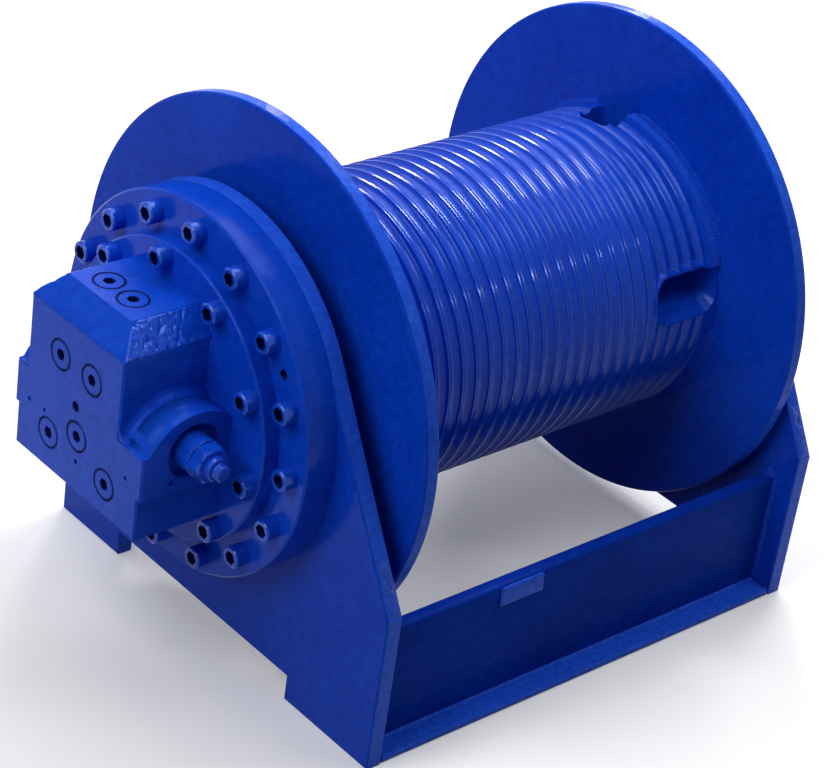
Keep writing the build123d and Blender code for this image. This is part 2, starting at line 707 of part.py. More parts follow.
motor_screw_places = around(MOTOR_SCREW_COUNT, motor_screw_circle, MOTOR_SCREW_START)
planet_places = around(PLANET_COUNT, planet_circle)
piston_radius = cavity_radius - RUNNING_CLEARANCE
steel_bore = SHAFT_HUB_RADIUS + STEEL_DISC_HUB_GAP
shaft_seal_bore = SHAFT_RADIUS + RUNNING_CLEARANCE
retainer_bore = planet_circle - PIN_RADIUS - RETAINER_RIM
retainer_outside = planet_circle + PIN_RADIUS + RETAINER_RIM

housing = {
    "brake_housing": brake_housing(),
    "housing_screws": screws_at(
        housing_screw_places, housing_face, HOUSING_SCREW_SIZE, HOUSING_FLANGE + PLATE_THICKNESS,
    ),
    "motor_flange": motor_flange(),
    "motor_flange_screws": screws_at(
        motor_screw_places, motor_face, MOTOR_SCREW_SIZE, MOTOR_FLANGE + MOTOR_SCREW_REACH,
    ),
    "shaft_seal": ring(housing_face, pilot_end, SHAFT_RADIUS + SHAFT_SEAL_WALL, shaft_seal_bore),
    "shaft_bush": ring(end_wall_start, end_wall_end, SHAFT_RADIUS + SHAFT_BUSH_WALL, shaft_seal_bore),
    "brake_spacer": ring(pilot_end, pack_start, cavity_radius, cavity_radius - SPACER_WALL),
    "brake_steel_discs": brake_discs(0, steel_disc_count, cavity_radius, steel_bore),
    "brake_springs": brake_springs(),
    "main_bearing_inner_ring": main_inner,
    "planet_pins": group([rod(end_wall_start, retainer_end, PIN_RADIUS, place) for place in planet_places]),
    "pin_retainer": bored(
        ring(retainer_start, retainer_end, retainer_outside, retainer_bore),
        planet_places, retainer_start, retainer_end, PIN_RADIUS,
    ),
}
brake_piston = {"brake_piston": ring(piston_start, spring_start, piston_radius, steel_bore)}


# Rotating shaft and planet gears

def drive_shaft():
    """Shaft from the motor gear to the sun gear, with the hub that turns the friction discs."""
    return ring(motor_gear_start, gear_end, SHAFT_RADIUS) + ring(pack_start, piston_start, SHAFT_HUB_RADIUS)


def planet_turn(place):
    """Angle that brings a planet's teeth into mesh with a sun that has a tooth on the +y side."""
    angle = atan2(place[1], place[0])
    return angle + pi - pi / PLANET_TEETH + angle * SUN_TEETH / PLANET_TEETH


friction_outside = cavity_radius - FRICTION_DISC_MARGIN
shaft = {
    "drive_shaft": drive_shaft(),
    "sun_gear": spur_gear(SUN_TEETH, GEAR_MODULE, gear_start, gear_end, SHAFT_RADIUS),
    "brake_friction_discs": brake_discs(1, FRICTION_DISC_COUNT, friction_outside, SHAFT_HUB_RADIUS),
    "motor_drive_gear": spur_gear(
        MOTOR_GEAR_TEETH, MOTOR_GEAR_MODULE, motor_gear_start, motor_gear_end, SHAFT_RADIUS,
    ),
}

planets = {}
bush_outside = PIN_RADIUS + PLANET_BUSH_WALL
for number, place in enumerate(planet_places, start=1):
    gear = spur_gear(PLANET_TEETH, GEAR_MODULE, gear_start, gear_end, bush_outside, planet_turn(place))
    bush = ring(gear_start, gear_end, bush_outside, PIN_RADIUS + RUNNING_CLEARANCE)
    planets[f"planet_gear_{number}"] = Pos(0, *place) * gear
    planets[f"planet_bush_{number}"] = Pos(0, *place) * bush


# Motor block

def block_body():
    """Casting: shouldered upper part, round lobe across it, and a wide foot with a waist."""
    upper = prism(
        [(-BLOCK_FRONT_SIDE, -BLOCK_WAIST), (BLOCK_BACK_SIDE, -BLOCK_WAIST),
         (BLOCK_BACK_SIDE, BLOCK_SHOULDER), (BLOCK_TOP_BACK, BLOCK_TOP),
         (-BLOCK_TOP_FRONT, BLOCK_TOP), (-BLOCK_FRONT_SIDE, BLOCK_SHOULDER)],
        block_face, motor_face,
    )
    slope = Plane.XZ.offset(-BLOCK_BACK_SIDE) * make_face(Polyline(
        (block_face, BLOCK_SHOULDER), (block_face + BLOCK_SLOPE_DEPTH, BLOCK_TOP), (block_face, BLOCK_TOP),
        close=True,
    ))
    upper -= extrude(slope, amount=BLOCK_BACK_SIDE + BLOCK_FRONT_SIDE)
    lobe_place = (block_face + LOBE_SETBACK, -LOBE_DROP)
    lobe = cross_rod(-LOBE_HALF_LENGTH, LOBE_HALF_LENGTH, LOBE_RADIUS, lobe_place)
    lobe_room = slab(
        (block_face, -LOBE_HALF_LENGTH, -BLOCK_WAIST), (motor_face, LOBE_HALF_LENGTH, LOBE_RADIUS),
    )
    lobe_front = slab(
        (block_face, -LOBE_HALF_LENGTH, -BLOCK_WAIST), (lobe_place[0], LOBE_HALF_LENGTH, LOBE_FRONT_TOP),
    )
    foot = slab(
        (block_face, -BLOCK_BASE_HALF_WIDTH, -BLOCK_BOTTOM),
        (motor_face, BLOCK_BASE_HALF_WIDTH, -BLOCK_WAIST),
    )
    return upper + (lobe & lobe_room) + lobe_front + foot


valve_place = (block_face + VALVE_SETBACK, VALVE_RISE)
valve_seat = -LOBE_HALF_LENGTH + VALVE_SEAT_DEPTH
valve_body_end = -LOBE_HALF_LENGTH - VALVE_BODY_REACH
valve_nut_end = valve_body_end - VALVE_NUT_LENGTH
valve_screw_end = -LOBE_HALF_LENGTH - VALVE_SCREW_REACH
plug_bore = PLUG_RADIUS + HOLE_CLEARANCE
front_plug_end = block_face + PLUG_DEPTH
top_plug_low = BLOCK_TOP - PLUG_DEPTH


def motor_block():
    """Casting with its plug bores, ports, small tapped holes, valve bore and motor gear chamber."""
    body = block_body()
    front_edges = body.faces().sort_by(Axis.X)[0].outer_wire().edges()
    body = chamfer(front_edges, BLOCK_EDGE_CHAMFER)
    body = bored(body, FRONT_PLUGS, block_face, front_plug_end, plug_bore)
    body = bored(body, [DRAIN_PORT_PLACE], block_face, block_face + DRAIN_PORT_DEPTH, DRAIN_PORT_RADIUS)
    body = bored(body, TAPPED_HOLES, block_face, block_face + TAPPED_HOLE_DEPTH, TAPPED_HOLE_RADIUS)
    for setback, side in TOP_PLUGS:
        bore = Cylinder(plug_bore, PLUG_DEPTH)
        body -= Pos(block_face + setback, side, top_plug_low + PLUG_DEPTH / 2) * bore
    lobe_hole_place = (block_face + LOBE_HOLE_SETBACK, -LOBE_HOLE_DROP)
    body -= cross_rod(
        -LOBE_HALF_LENGTH, -LOBE_HALF_LENGTH + TAPPED_HOLE_DEPTH, TAPPED_HOLE_RADIUS, lobe_hole_place,
    )
    recess_end = -LOBE_HALF_LENGTH + VALVE_RECESS_DEPTH
    body -= cross_rod(-LOBE_HALF_LENGTH, recess_end, VALVE_RECESS_RADIUS, valve_place)
    body -= cross_rod(-LOBE_HALF_LENGTH, valve_seat, VALVE_BODY_RADIUS + HOLE_CLEARANCE, valve_place)
    port_x = block_face + SERVICE_PORT_SETBACK
    for side, height in ((BLOCK_BACK_SIDE, SERVICE_PORT_UPPER), (LOBE_HALF_LENGTH, SERVICE_PORT_LOWER)):
        body -= cross_rod(side - SERVICE_PORT_DEPTH, side, SERVICE_PORT_RADIUS, (port_x, height))
    chamber = motor_tip + FREE_CLEARANCE
    body = bored(body, [(0.0, 0.0), (0.0, idler_height)], motor_cavity_start, motor_face, chamber)
    return bored(body, [(0.0, idler_height)], idler_pin_start, motor_cavity_start, IDLER_PIN_RADIUS)


def socket_plug():
    """Flush plug along x with a broken rim and a hexagon socket, face at x = 0."""
    body = turned(
        (0, 0), (PLUG_DEPTH, 0), (PLUG_DEPTH, PLUG_RADIUS), (PLUG_CHAMFER, PLUG_RADIUS),
        (0, PLUG_RADIUS - PLUG_CHAMFER),
    )
    return body - hexagon_bar(0, PLUG_SOCKET_DEPTH, PLUG_SOCKET)


def along_y(solid, place):
    """Solid drawn along x turned to run along -y at an (x, z) place."""
    return Pos(place[0], 0, place[1]) * Rot(0, 0, -90) * solid


def relief_valve_body():
    """Round cartridge body seated in the lobe."""
    return along_y(ring(-valve_seat, -valve_body_end, VALVE_BODY_RADIUS), valve_place)


def relief_valve_nut():
    """Hexagon lock nut on the adjusting screw, with rounded corners towards the end."""
    length = VALVE_NUT_LENGTH
    nut = hexagon_bar(0, length, VALVE_NUT_WIDTH)
    corner = VALVE_NUT_WIDTH / 2 / cos(pi / 6)
    bevel_start = length * (1 - NUT_BEVEL)
    nut &= turned((0, 0), (length, 0), (length, VALVE_NUT_WIDTH / 2), (bevel_start, corner), (0, corner))
    nut -= ring(0, length, VALVE_SCREW_RADIUS + HOLE_CLEARANCE)
    return along_y(Pos(-valve_body_end, 0, 0) * nut, valve_place)


def relief_valve_screw():
    """Adjusting screw through the lock nut, with a collar and a ringed end."""
    collar_end = -valve_nut_end + VALVE_COLLAR_LENGTH
    end = -valve_screw_end
    depth = VALVE_GROOVE_DEPTH
    groove = VALVE_SCREW_RADIUS - depth
    middle = (collar_end + end) / 2
    return along_y(turned(
        (-valve_body_end, 0), (end, 0), (end, groove), (end - depth, VALVE_SCREW_RADIUS),
        (middle + depth, VALVE_SCREW_RADIUS), (middle, groove), (middle - depth, VALVE_SCREW_RADIUS),
        (collar_end, VALVE_SCREW_RADIUS), (collar_end, VALVE_COLLAR_RADIUS - VALVE_COLLAR_BEVEL),
        (collar_end - VALVE_COLLAR_BEVEL, VALVE_COLLAR_RADIUS), (-valve_nut_end, VALVE_COLLAR_RADIUS),
        (-valve_nut_end, VALVE_SCREW_RADIUS), (-valve_body_end, VALVE_SCREW_RADIUS),
    ), valve_place)


idler_pin_start = motor_cavity_start - IDLER_PIN_SEAT
idler_pin_end = motor_face + IDLER_PIN_SEAT
idler_bore = IDLER_PIN_RADIUS + RUNNING_CLEARANCE
idler = spur_gear(
    MOTOR_GEAR_TEETH, MOTOR_GEAR_MODULE, motor_gear_start, motor_gear_end, idler_bore, pi / MOTOR_GEAR_TEETH,
)
motor = {
    "motor_block": motor_block(),
    "front_plugs": group([Pos(block_face, *place) * socket_plug() for place in FRONT_PLUGS]),
    "top_plugs": group([
        Pos(block_face + setback, side, BLOCK_TOP) * Rot(0, 90, 0) * socket_plug()
        for setback, side in TOP_PLUGS
    ]),
    "relief_valve_body": relief_valve_body(),
    "relief_valve_nut": relief_valve_nut(),
    "relief_valve_screw": relief_valve_screw(),
    "idler_pin": rod(idler_pin_start, idler_pin_end, IDLER_PIN_RADIUS, (0.0, idler_height)),
}
motor_idler = {"motor_idler_gear": Pos(0, 0, idler_height) * idler}


# Whole winch, moved to its own origin

nodes = {**frame, **housing, **brake_piston, **shaft, **planets, **drum, **far_end, **motor, **motor_idler}
nodes["main_bearing_balls"] = main_balls
nodes["far_bearing_balls"] = far_balls

boxes = [solid.bounding_box() for solid in nodes.values()]
low_x = min(box.min.X for box in boxes)
high_x = max(box.max.X for box in boxes)
low_y = min(box.min.Y for box in boxes)
high_y = max(box.max.Y for box in boxes)
origin = Pos(-(low_x + high_x) / 2, -(low_y + high_y) / 2, axis_height)
os.makedirs("parts", exist_ok=True)
for name, solid in nodes.items():
    export_step(origin * solid, f"parts/{name}.step")
print("drum axis at", origin.position, "length", high_x - low_x, "depth", high_y - low_y)
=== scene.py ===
import json
from math import cos, pi, radians, sin

import bmesh
import bpy
import numpy as np
from mathutils import Matrix, Vector


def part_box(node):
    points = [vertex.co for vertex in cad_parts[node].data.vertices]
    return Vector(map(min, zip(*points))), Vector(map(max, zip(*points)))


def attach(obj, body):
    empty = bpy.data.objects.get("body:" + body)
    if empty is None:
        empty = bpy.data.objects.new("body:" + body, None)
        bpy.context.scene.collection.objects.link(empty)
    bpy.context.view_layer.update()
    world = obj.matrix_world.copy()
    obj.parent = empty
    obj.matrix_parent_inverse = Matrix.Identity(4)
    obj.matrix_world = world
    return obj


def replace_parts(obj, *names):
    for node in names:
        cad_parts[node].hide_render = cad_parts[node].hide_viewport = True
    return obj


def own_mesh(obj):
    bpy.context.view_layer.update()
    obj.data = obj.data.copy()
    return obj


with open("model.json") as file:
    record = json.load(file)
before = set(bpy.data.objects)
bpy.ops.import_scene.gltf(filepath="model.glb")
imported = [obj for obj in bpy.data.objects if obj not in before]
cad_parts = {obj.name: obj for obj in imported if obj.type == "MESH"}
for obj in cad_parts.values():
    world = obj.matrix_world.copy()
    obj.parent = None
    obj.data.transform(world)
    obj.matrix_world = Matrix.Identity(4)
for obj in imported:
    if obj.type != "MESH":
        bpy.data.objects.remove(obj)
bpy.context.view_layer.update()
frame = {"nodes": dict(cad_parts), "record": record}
nodes = frame["nodes"]
record = frame["record"]
body_of_node = {node: body for body, members in record["behaviour"]["bodies"].items() for node in members}
slot_of_node = {part["node"]: part["material_slot"] for part in record["subparts"]}

MM = 0.001
ALONG = np.array([1.0, 0.0, 0.0])
BACK = np.array([0.0, 1.0, 0.0])
UP = np.array([0.0, 0.0, 1.0])

# Distances and an angle below which points and faces are taken as one, and the angle of a sharp edge
SAME_PLACE = 0.01 * MM
MERGE = 0.002 * MM
SLIVER = 0.08 * MM
FLAT = radians(0.2)
SHARP = radians(28)

# Weld beads and cast fillets
BEAD_POINTS = 9
BEAD_FULLNESS = 1.2
INNER_POINTS = 4
END_TAPER = 1.5
RIPPLE_PITCH = 4.2 * MM
RIPPLE_LAG = 0.55
BEAD_WAVES = (14 * MM, 31 * MM)
BEAD_UNEVENNESS = 0.5
BEAD_SEED = 3
WELD_STEP = 0.8 * MM
LEAST_POINTS = 8

# Rolled bars
CORNER_POINTS = 5
BAR_STEP = 8 * MM
LEAST_BAR_POINTS = 6
BAR_WAVES = (25 * MM, 60 * MM)
BAR_SEED = 5

# Rough skins
WAVE_DIRECTIONS = 5
SKIN_STEP = 0.7 * MM
SKIN_WAVES = (7 * MM, 15 * MM)
LUMP_SIZE = 6 * MM
LUMP_CROWDING = 1.3
LUMP_SHARE = 0.8
RIM_STEPS = 4
RIM_DIP = 0.4

# Sleeve and threads
HALF_TURN_POINTS = 25
THREAD_SIDES = 48
THREAD_GAP = 0.06 * MM
PITCH_POINTS = 8
THREAD_HEIGHT = 0.55


def box(node):
    """Lowest and highest corner of a CAD piece, in metres."""
    low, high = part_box(node)
    return np.array(low), np.array(high)


# Places taken from the frame
flange_low, flange_high = box("drum_flange_motor_side")
barrel_low, barrel_high = box("drum_barrel")
web_low, web_high = box("front_web")
lip_low, lip_high = box("front_lip")
tab_low, tab_high = box("front_tab")
member_low, member_high = box("rear_cross_member")
plate_low, plate_high = box("side_plate_motor_end")
far_plate_low, far_plate_high = box("side_plate_far_end")
block_low, block_high = box("motor_block")
axis = (flange_low + flange_high) / 2
crest_radius = (barrel_high[2] - barrel_low[2]) / 2


def solids_of(node):
    """Lowest and highest corners of a CAD piece's separate solids: each point takes the lowest label of the
    triangles that it is in, over and over, until every solid has a single label."""
    mesh = nodes[node].data
    points = np.empty(3 * len(mesh.vertices))
    mesh.vertices.foreach_get("co", points)
    points = points.reshape(-1, 3)
    corners = np.empty(len(mesh.loops), int)
    mesh.loops.foreach_get("vertex_index", corners)
    same_place = np.unique(np.round(points / SAME_PLACE).astype(int), axis=0, return_inverse=True)[1].ravel()
    faces = same_place[corners.reshape(-1, 3)]
    label = np.arange(same_place.max() + 1)
    spread = label.copy()
    np.minimum.at(spread, faces.ravel(), np.repeat(label[faces].min(1), 3))
    while (spread != label).any():
        label = spread[spread]
        spread = label.copy()
        np.minimum.at(spread, faces.ravel(), np.repeat(label[faces].min(1), 3))
    owner = label[same_place]
    lows = np.array([points[owner == one].min(0) for one in np.unique(owner)])
    highs = np.array([points[owner == one].max(0) for one in np.unique(owner)])
    return lows, highs


# Mesh making

def show(name, mesh, body, slot, finish=None):
    """Object of a finished mesh, painted as its slot or a named finish says, riding on a body."""
    mesh.materials.clear()
    mesh.materials.append(finishes[finish or slot])
    shown = bpy.data.objects.new(name, mesh)
    bpy.context.collection.objects.link(shown)
    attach(shown, body)
    return shown


def piece(name, grid, body, slot, smooth_angle=40, finish=None):
    """Closed mesh of a (rows, columns, 3) grid of points, or of several: every cell is a face, points that
    fall together, along the seam and at the ends, are merged, and faces are turned outwards."""
    grid = grid.reshape(-1, *grid.shape[-3:])
    first = np.arange(grid[..., 0].size).reshape(grid.shape[:3])
    quads = np.stack([first[:, :-1, :-1], first[:, :-1, 1:], first[:, 1:, 1:], first[:, 1:, :-1]], -1)
    mesh = bpy.data.meshes.new(name)
    mesh.from_pydata(grid.reshape(-1, 3), [], quads.reshape(-1, 4))
    made = bmesh.new()
    made.from_mesh(mesh)
    bmesh.ops.remove_doubles(made, verts=made.verts, dist=MERGE)
    bmesh.ops.dissolve_degenerate(made, dist=MERGE / 2, edges=made.edges)
    bmesh.ops.recalc_face_normals(made, faces=made.faces)
    made.to_mesh(mesh)
    made.free()
    mesh.polygons.foreach_set("use_smooth", np.ones(len(mesh.polygons), bool))
    mesh.set_sharp_from_angle(angle=radians(smooth_angle))
    return show(name, mesh, body, slot, finish)


def merged_copy(node, name, closeness=MERGE):
    """Copy of a CAD piece with its loose triangles merged and its flat facets joined, standing for it."""
    mesh = nodes[node].data.copy()
    made = bmesh.new()
    made.from_mesh(mesh)
    bmesh.ops.remove_doubles(made, verts=made.verts, dist=closeness)
    bmesh.ops.dissolve_degenerate(made, dist=closeness / 2, edges=made.edges)
    bmesh.ops.dissolve_limit(made, angle_limit=FLAT, verts=made.verts, edges=made.edges)
    made.to_mesh(mesh)
    made.free()
    mesh.polygons.foreach_set("use_smooth", np.ones(len(mesh.polygons), bool))
    shown = show(name, mesh, body_of_node[node], slot_of_node[node], finish_of_node[node])
    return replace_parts(shown, node)


def eased(node, edge, least=0.0, closeness=SLIVER):
    """A CAD piece with its corners rounded over, as a file and a thick coat of paint leave them: a bevel of
    the given width on every sharp edge of at least some length, with the flat faces kept flat. Slivers are
    merged first, because the bevel is only as wide as the shortest edge beside it allows."""
    shown = merged_copy(node, node + "_eased", closeness)
    mesh = shown.data
    mesh.set_sharp_from_angle(angle=SHARP)
    sharp = np.empty(len(mesh.edges), bool)
    mesh.attributes["sharp_edge"].data.foreach_get("value", sharp)
    points = np.empty(3 * len(mesh.vertices))
    mesh.vertices.foreach_get("co", points)
    ends = np.empty(2 * len(mesh.edges), int)
    mesh.edges.foreach_get("vertices", ends)
    ends = points.reshape(-1, 3)[ends.reshape(-1, 2)]
    length = np.linalg.norm(ends[:, 1] - ends[:, 0], axis=1)
    weight = mesh.attributes.new("bevel_weight_edge", "FLOAT", "EDGE")
    weight.data.foreach_set("value", (sharp & (length >= least)).astype(np.float32))
    bevel = shown.modifiers.new("eased_corners", "BEVEL")
    bevel.width = edge
    bevel.segments = 3
    bevel.limit_method = "WEIGHT"
    level_faces = shown.modifiers.new("level_faces", "WEIGHTED_NORMAL")
    level_faces.weight = 100
    level_faces.keep_sharp = True


def waves(places, lengths, seed):
    """Uneven heights between -1 and 1: the mean of cosines of the given wavelengths, each in a few seeded
    directions with seeded phases, over an array of (..., n) places."""
    draw = np.random.default_rng(seed)
    height = np.zeros(places.shape[:-1])
    for length in lengths:
        directions = draw.normal(size=(WAVE_DIRECTIONS, places.shape[-1]))
        directions /= np.linalg.norm(directions, axis=1, keepdims=True)
        phases = draw.uniform(0, 2 * pi, WAVE_DIRECTIONS)
        height += np.cos(places @ directions.T * (2 * pi / length) + phases).mean(-1)
    return height / len(lengths)


def corner_bead(name, path, toe_a, toe_b, leg, body, slot, sink=0.3 * MM, ripple=0.12, cast=False):
    """Bead in the corner of two faces: a closed section carried along a path. The section runs from its
    toe on one face, over an arc, to its toe on the other, and back inside the metal. A weld's arc bulges,
    its ripples are a cosine along the path that lags towards the toes, and both ends of an open path taper
    to a point. A cast fillet's arc is hollow, and its ends are cut off square."""
    toe_a, toe_b = np.broadcast_to(toe_a, path.shape), np.broadcast_to(toe_b, path.shape)
    if cast:
        path, toe_a, toe_b = (np.concatenate([rows[:1], rows, rows[-1:]]) for rows in (path, toe_a, toe_b))
    steps = np.linalg.norm(np.diff(path, axis=0), axis=1)
    travel = np.concatenate([[0.0], np.cumsum(steps)])
    turn = np.linspace(0, pi / 2, BEAD_POINTS)
    rise_a, rise_b = np.cos(turn) ** BEAD_FULLNESS, np.sin(turn) ** BEAD_FULLNESS
    if cast:
        rise_a, rise_b = 1 - np.sin(turn), 1 - np.cos(turn)
    inside = -sink / leg
    section_a = np.concatenate([rise_a, [inside, inside, rise_a[0]], rise_a[:1]])
    section_b = np.concatenate([rise_b, [rise_b[-1], inside, inside], rise_b[:1]])
    crown = np.concatenate([np.sin(2 * turn), np.zeros(INNER_POINTS)])
    lag = np.concatenate([(turn - pi / 4) ** 2, np.zeros(INNER_POINTS)])
    closed = np.linalg.norm(path[0] - path[-1]) < MERGE
    to_end = np.minimum(travel, travel[-1] - travel) / (END_TAPER * leg)
    size = np.ones_like(travel) if closed else np.sqrt(1 - (1 - np.clip(to_end, 0, 1)) ** 2)
    if cast:
        size = np.concatenate([[0.0], np.ones(len(path) - 2), [0.0]])
    pitch = RIPPLE_PITCH
    if closed:
        pitch = travel[-1] / round(travel[-1] / RIPPLE_PITCH)
        size[-1] = size[0]
    uneven = 1 + BEAD_UNEVENNESS * ripple * waves(path, BEAD_WAVES, BEAD_SEED)
    wave = ripple * crown * np.cos(2 * pi * (travel[:, None] / pitch + RIPPLE_LAG * lag))
    reach = leg * (size * uneven)[:, None] * (1 + wave)
    across_a, across_b = (section_a * reach)[..., None], (section_b * reach)[..., None]
    grid = path[:, None] + toe_a[:, None] * across_a + toe_b[:, None] * across_b
    return piece(name, grid, body, slot, smooth_angle=70)


def straight(start, end):
    """Evenly spaced points from one place to another, about a weld step apart."""
    start, end = np.asarray(start, float), np.asarray(end, float)
    count = max(int(np.linalg.norm(end - start) / WELD_STEP), LEAST_POINTS)
    return start + (end - start) * np.linspace(0, 1, count)[:, None]


def arc_round_drum(place, radius, first, last):
    """Points on a circle about the drum axis at one place along it, about a weld step apart, and the outward
    direction at each. Angles are in degrees from the back, over the top, to the front."""
    count = int(radians(last - first) * radius / WELD_STEP)
    turn = np.radians(np.linspace(first, last, count))
    outward = np.stack([np.zeros_like(turn), np.cos(turn), np.sin(turn)], -1)
    centre = np.array([place, axis[1], axis[2]])
    return centre + radius * outward, outward


def rounded_bar(name, low, high, edge, node, wave=0.15 * MM, lean=0.0, finish=None):
    """Rolled bar along x that fills a box: a rectangle with rounded corners carried along the bar, with
    both ends rounded and closed at their middles. Its surface sinks unevenly, by up to the height of a wave,
    and its front face may lean back by a given length at the top."""
    middle, half = (low + high) / 2, (high - low) / 2
    bend = np.linspace(0, pi / 2, CORNER_POINTS)
    turn = (np.arange(4)[:, None] * pi / 2 + bend).ravel()
    turn = np.append(turn, turn[0])
    corner = np.repeat([[1, 1], [-1, 1], [-1, -1], [1, -1]], CORNER_POINTS, axis=0)
    corner = np.concatenate([corner, corner[:1]])
    ends = half[0] - edge * (1 - np.sin(bend))
    count = max(int(2 * half[0] / BAR_STEP), LEAST_BAR_POINTS)
    runs = np.linspace(-half[0] + edge, half[0] - edge, count)[1:-1]
    place = np.concatenate([[-half[0]], -ends[::-1], runs, ends, [half[0]]])
    grow = edge * np.concatenate([[0], np.cos(bend)[::-1], np.ones(len(runs)), np.cos(bend), [0]])
    spread = np.ones(len(place))
    spread[[0, -1]] = 0
    across = spread[:, None, None] * (half[1:] - edge) * corner
    across = across + grow[:, None, None] * np.stack([np.cos(turn), np.sin(turn)], -1)
    grid = np.concatenate([np.broadcast_to(place[:, None, None], (*across.shape[:2], 1)), across], -1)
    grid = grid + middle
    inward = np.sign(middle - grid)
    grid = grid + inward * (wave * (1 + waves(grid, BAR_WAVES, BAR_SEED)) / 2)[..., None]
    rise = (grid[..., 2] - low[2]) / (high[2] - low[2])
    fore = (high[1] - grid[..., 1]) / (high[1] - low[1])
    grid[..., 1] += lean * rise * fore
    shown = piece(name, grid, body_of_node[node], slot_of_node[node], finish=finish)
    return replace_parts(shown, node)


def lumps(places, size, seed):
    """Rounded lumps that meet in creases: one less the squared distance, in lump sizes, to the nearest of
    some of the (rows, columns, 3) places themselves, drawn with a seed."""
    flat = places.reshape(-1, 3)
    wide = np.linalg.norm(places[-1, 0] - places[0, 0])
    deep = np.linalg.norm(places[0, -1] - places[0, 0])
    draw = np.random.default_rng(seed)
    centres = flat[draw.choice(len(flat), int(wide * deep / size ** 2 * LUMP_CROWDING))]
    nearest = np.linalg.norm(flat[:, None] - centres, axis=-1).min(1)
    return np.clip(1 - (nearest / size) ** 2, 0, 1).reshape(places.shape[:-1])


def cast_skin(name, corners, height, seed, body, slot, fade=(1.0, 1.0), finish=None):
    """Rough cast face: a four-cornered patch whose points stand off it by seeded lumps and waves. At its
    border the skin dips below the face, where it meets its flat underside, so the patch is closed. The
    lumps fade from one end of the patch to the other by the two given shares."""
    corners = np.asarray(corners, float)
    wide = np.linalg.norm(corners[1] - corners[0])
    deep = np.linalg.norm(corners[3] - corners[0])
    u = np.linspace(0, 1, int(wide / SKIN_STEP))[:, None, None]
    v = np.linspace(0, 1, int(deep / SKIN_STEP))[None, :, None]
    flat = (corners[0] * (1 - u) + corners[1] * u) * (1 - v) + (corners[3] * (1 - u) + corners[2] * u) * v
    outward = np.cross(corners[1] - corners[0], corners[3] - corners[0])
    outward /= np.linalg.norm(outward)
    rim = np.minimum(np.minimum(u, 1 - u) * wide, np.minimum(v, 1 - v) * deep)[..., 0]
    cover = np.clip(rim / (RIM_STEPS * SKIN_STEP), 0, 1)
    rough = LUMP_SHARE * lumps(flat, LUMP_SIZE, seed) + (1 - LUMP_SHARE) * waves(flat, SKIN_WAVES, seed)
    rough = rough * (fade[0] + (fade[1] - fade[0]) * u[..., 0])
    stand = height * (rough * cover - RIM_DIP * (1 - cover))
    top = flat + outward * stand[..., None]
    under = flat - outward * height
    grid = np.concatenate([top, under[:, ::-1]], 1)
    grid = np.concatenate([grid, grid[:, :1]], 1)
    ends = grid.mean(1, keepdims=True)
    grid = np.concatenate([np.broadcast_to(ends[:1], grid[:1].shape), grid,
                           np.broadcast_to(ends[-1:], grid[-1:].shape)], 0)
    return piece(name, grid, body, slot, smooth_angle=180, finish=finish)


def turned_group(name, places, outward, side, profile, sides, body, slot, finish):
    """Copies of one turned shape, or of a prism with few sides: its (radius, height) profile is carried round
    an axis through each place, which points outward, starting from a side direction."""
    turn = np.linspace(0, 2 * pi, sides + 1)
    round_way = np.cos(turn)[:, None] * side + np.sin(turn)[:, None] * np.cross(outward, side)
    radius, height = np.array(profile).T
    shape = height[:, None, None] * outward + radius[:, None, None] * round_way
    return piece(name, np.asarray(places)[:, None, None] + shape, body, slot, finish=finish)


def pocket_sleeve(name, mount, body, slot, finish):
    """Sleeve with a closed floor, let into the barrel along a mount's axis. At each point of a slot's
    outline, two half circles about the ends of a line, the section runs from the middle of the floor to the
    wall, up the inside to just under the barrel's crests, down the outside, and back under the floor."""
    outward, place = np.array(mount["axis"], float), np.array(mount["pos_m"], float)
    upward = np.cross(outward, ALONG)
    half_turn = np.linspace(-pi / 2, pi / 2, HALF_TURN_POINTS)
    turn = np.concatenate([half_turn, half_turn + pi, half_turn[:1]])[:, None]
    end = np.repeat([1.0, -1.0, 1.0], [HALF_TURN_POINTS, HALF_TURN_POINTS, 1])[:, None]
    inner = POCKET_LENGTH / 2 + SLEEVE_GAP
    outer = inner + SLEEVE_WALL
    reach = np.array([0, inner, inner, outer, outer, 0])
    across = end * (POCKET_WIDTH - POCKET_LENGTH) / 2 + reach * np.cos(turn)
    rise = reach * np.sin(turn)
    from_axis = place - axis
    rim = np.sqrt((crest_radius - SLEEVE_DROP) ** 2 - (from_axis @ upward + rise[:, 2:4]) ** 2)
    floor_depth = np.full((len(turn), 2), POCKET_DEPTH)
    depth = np.concatenate([floor_depth, from_axis @ outward - rim, floor_depth + SLEEVE_WALL], 1)
    grid = place + across[..., None] * ALONG + rise[..., None] * upward - depth[..., None] * outward
    return piece(name, grid, body, slot, finish=finish)


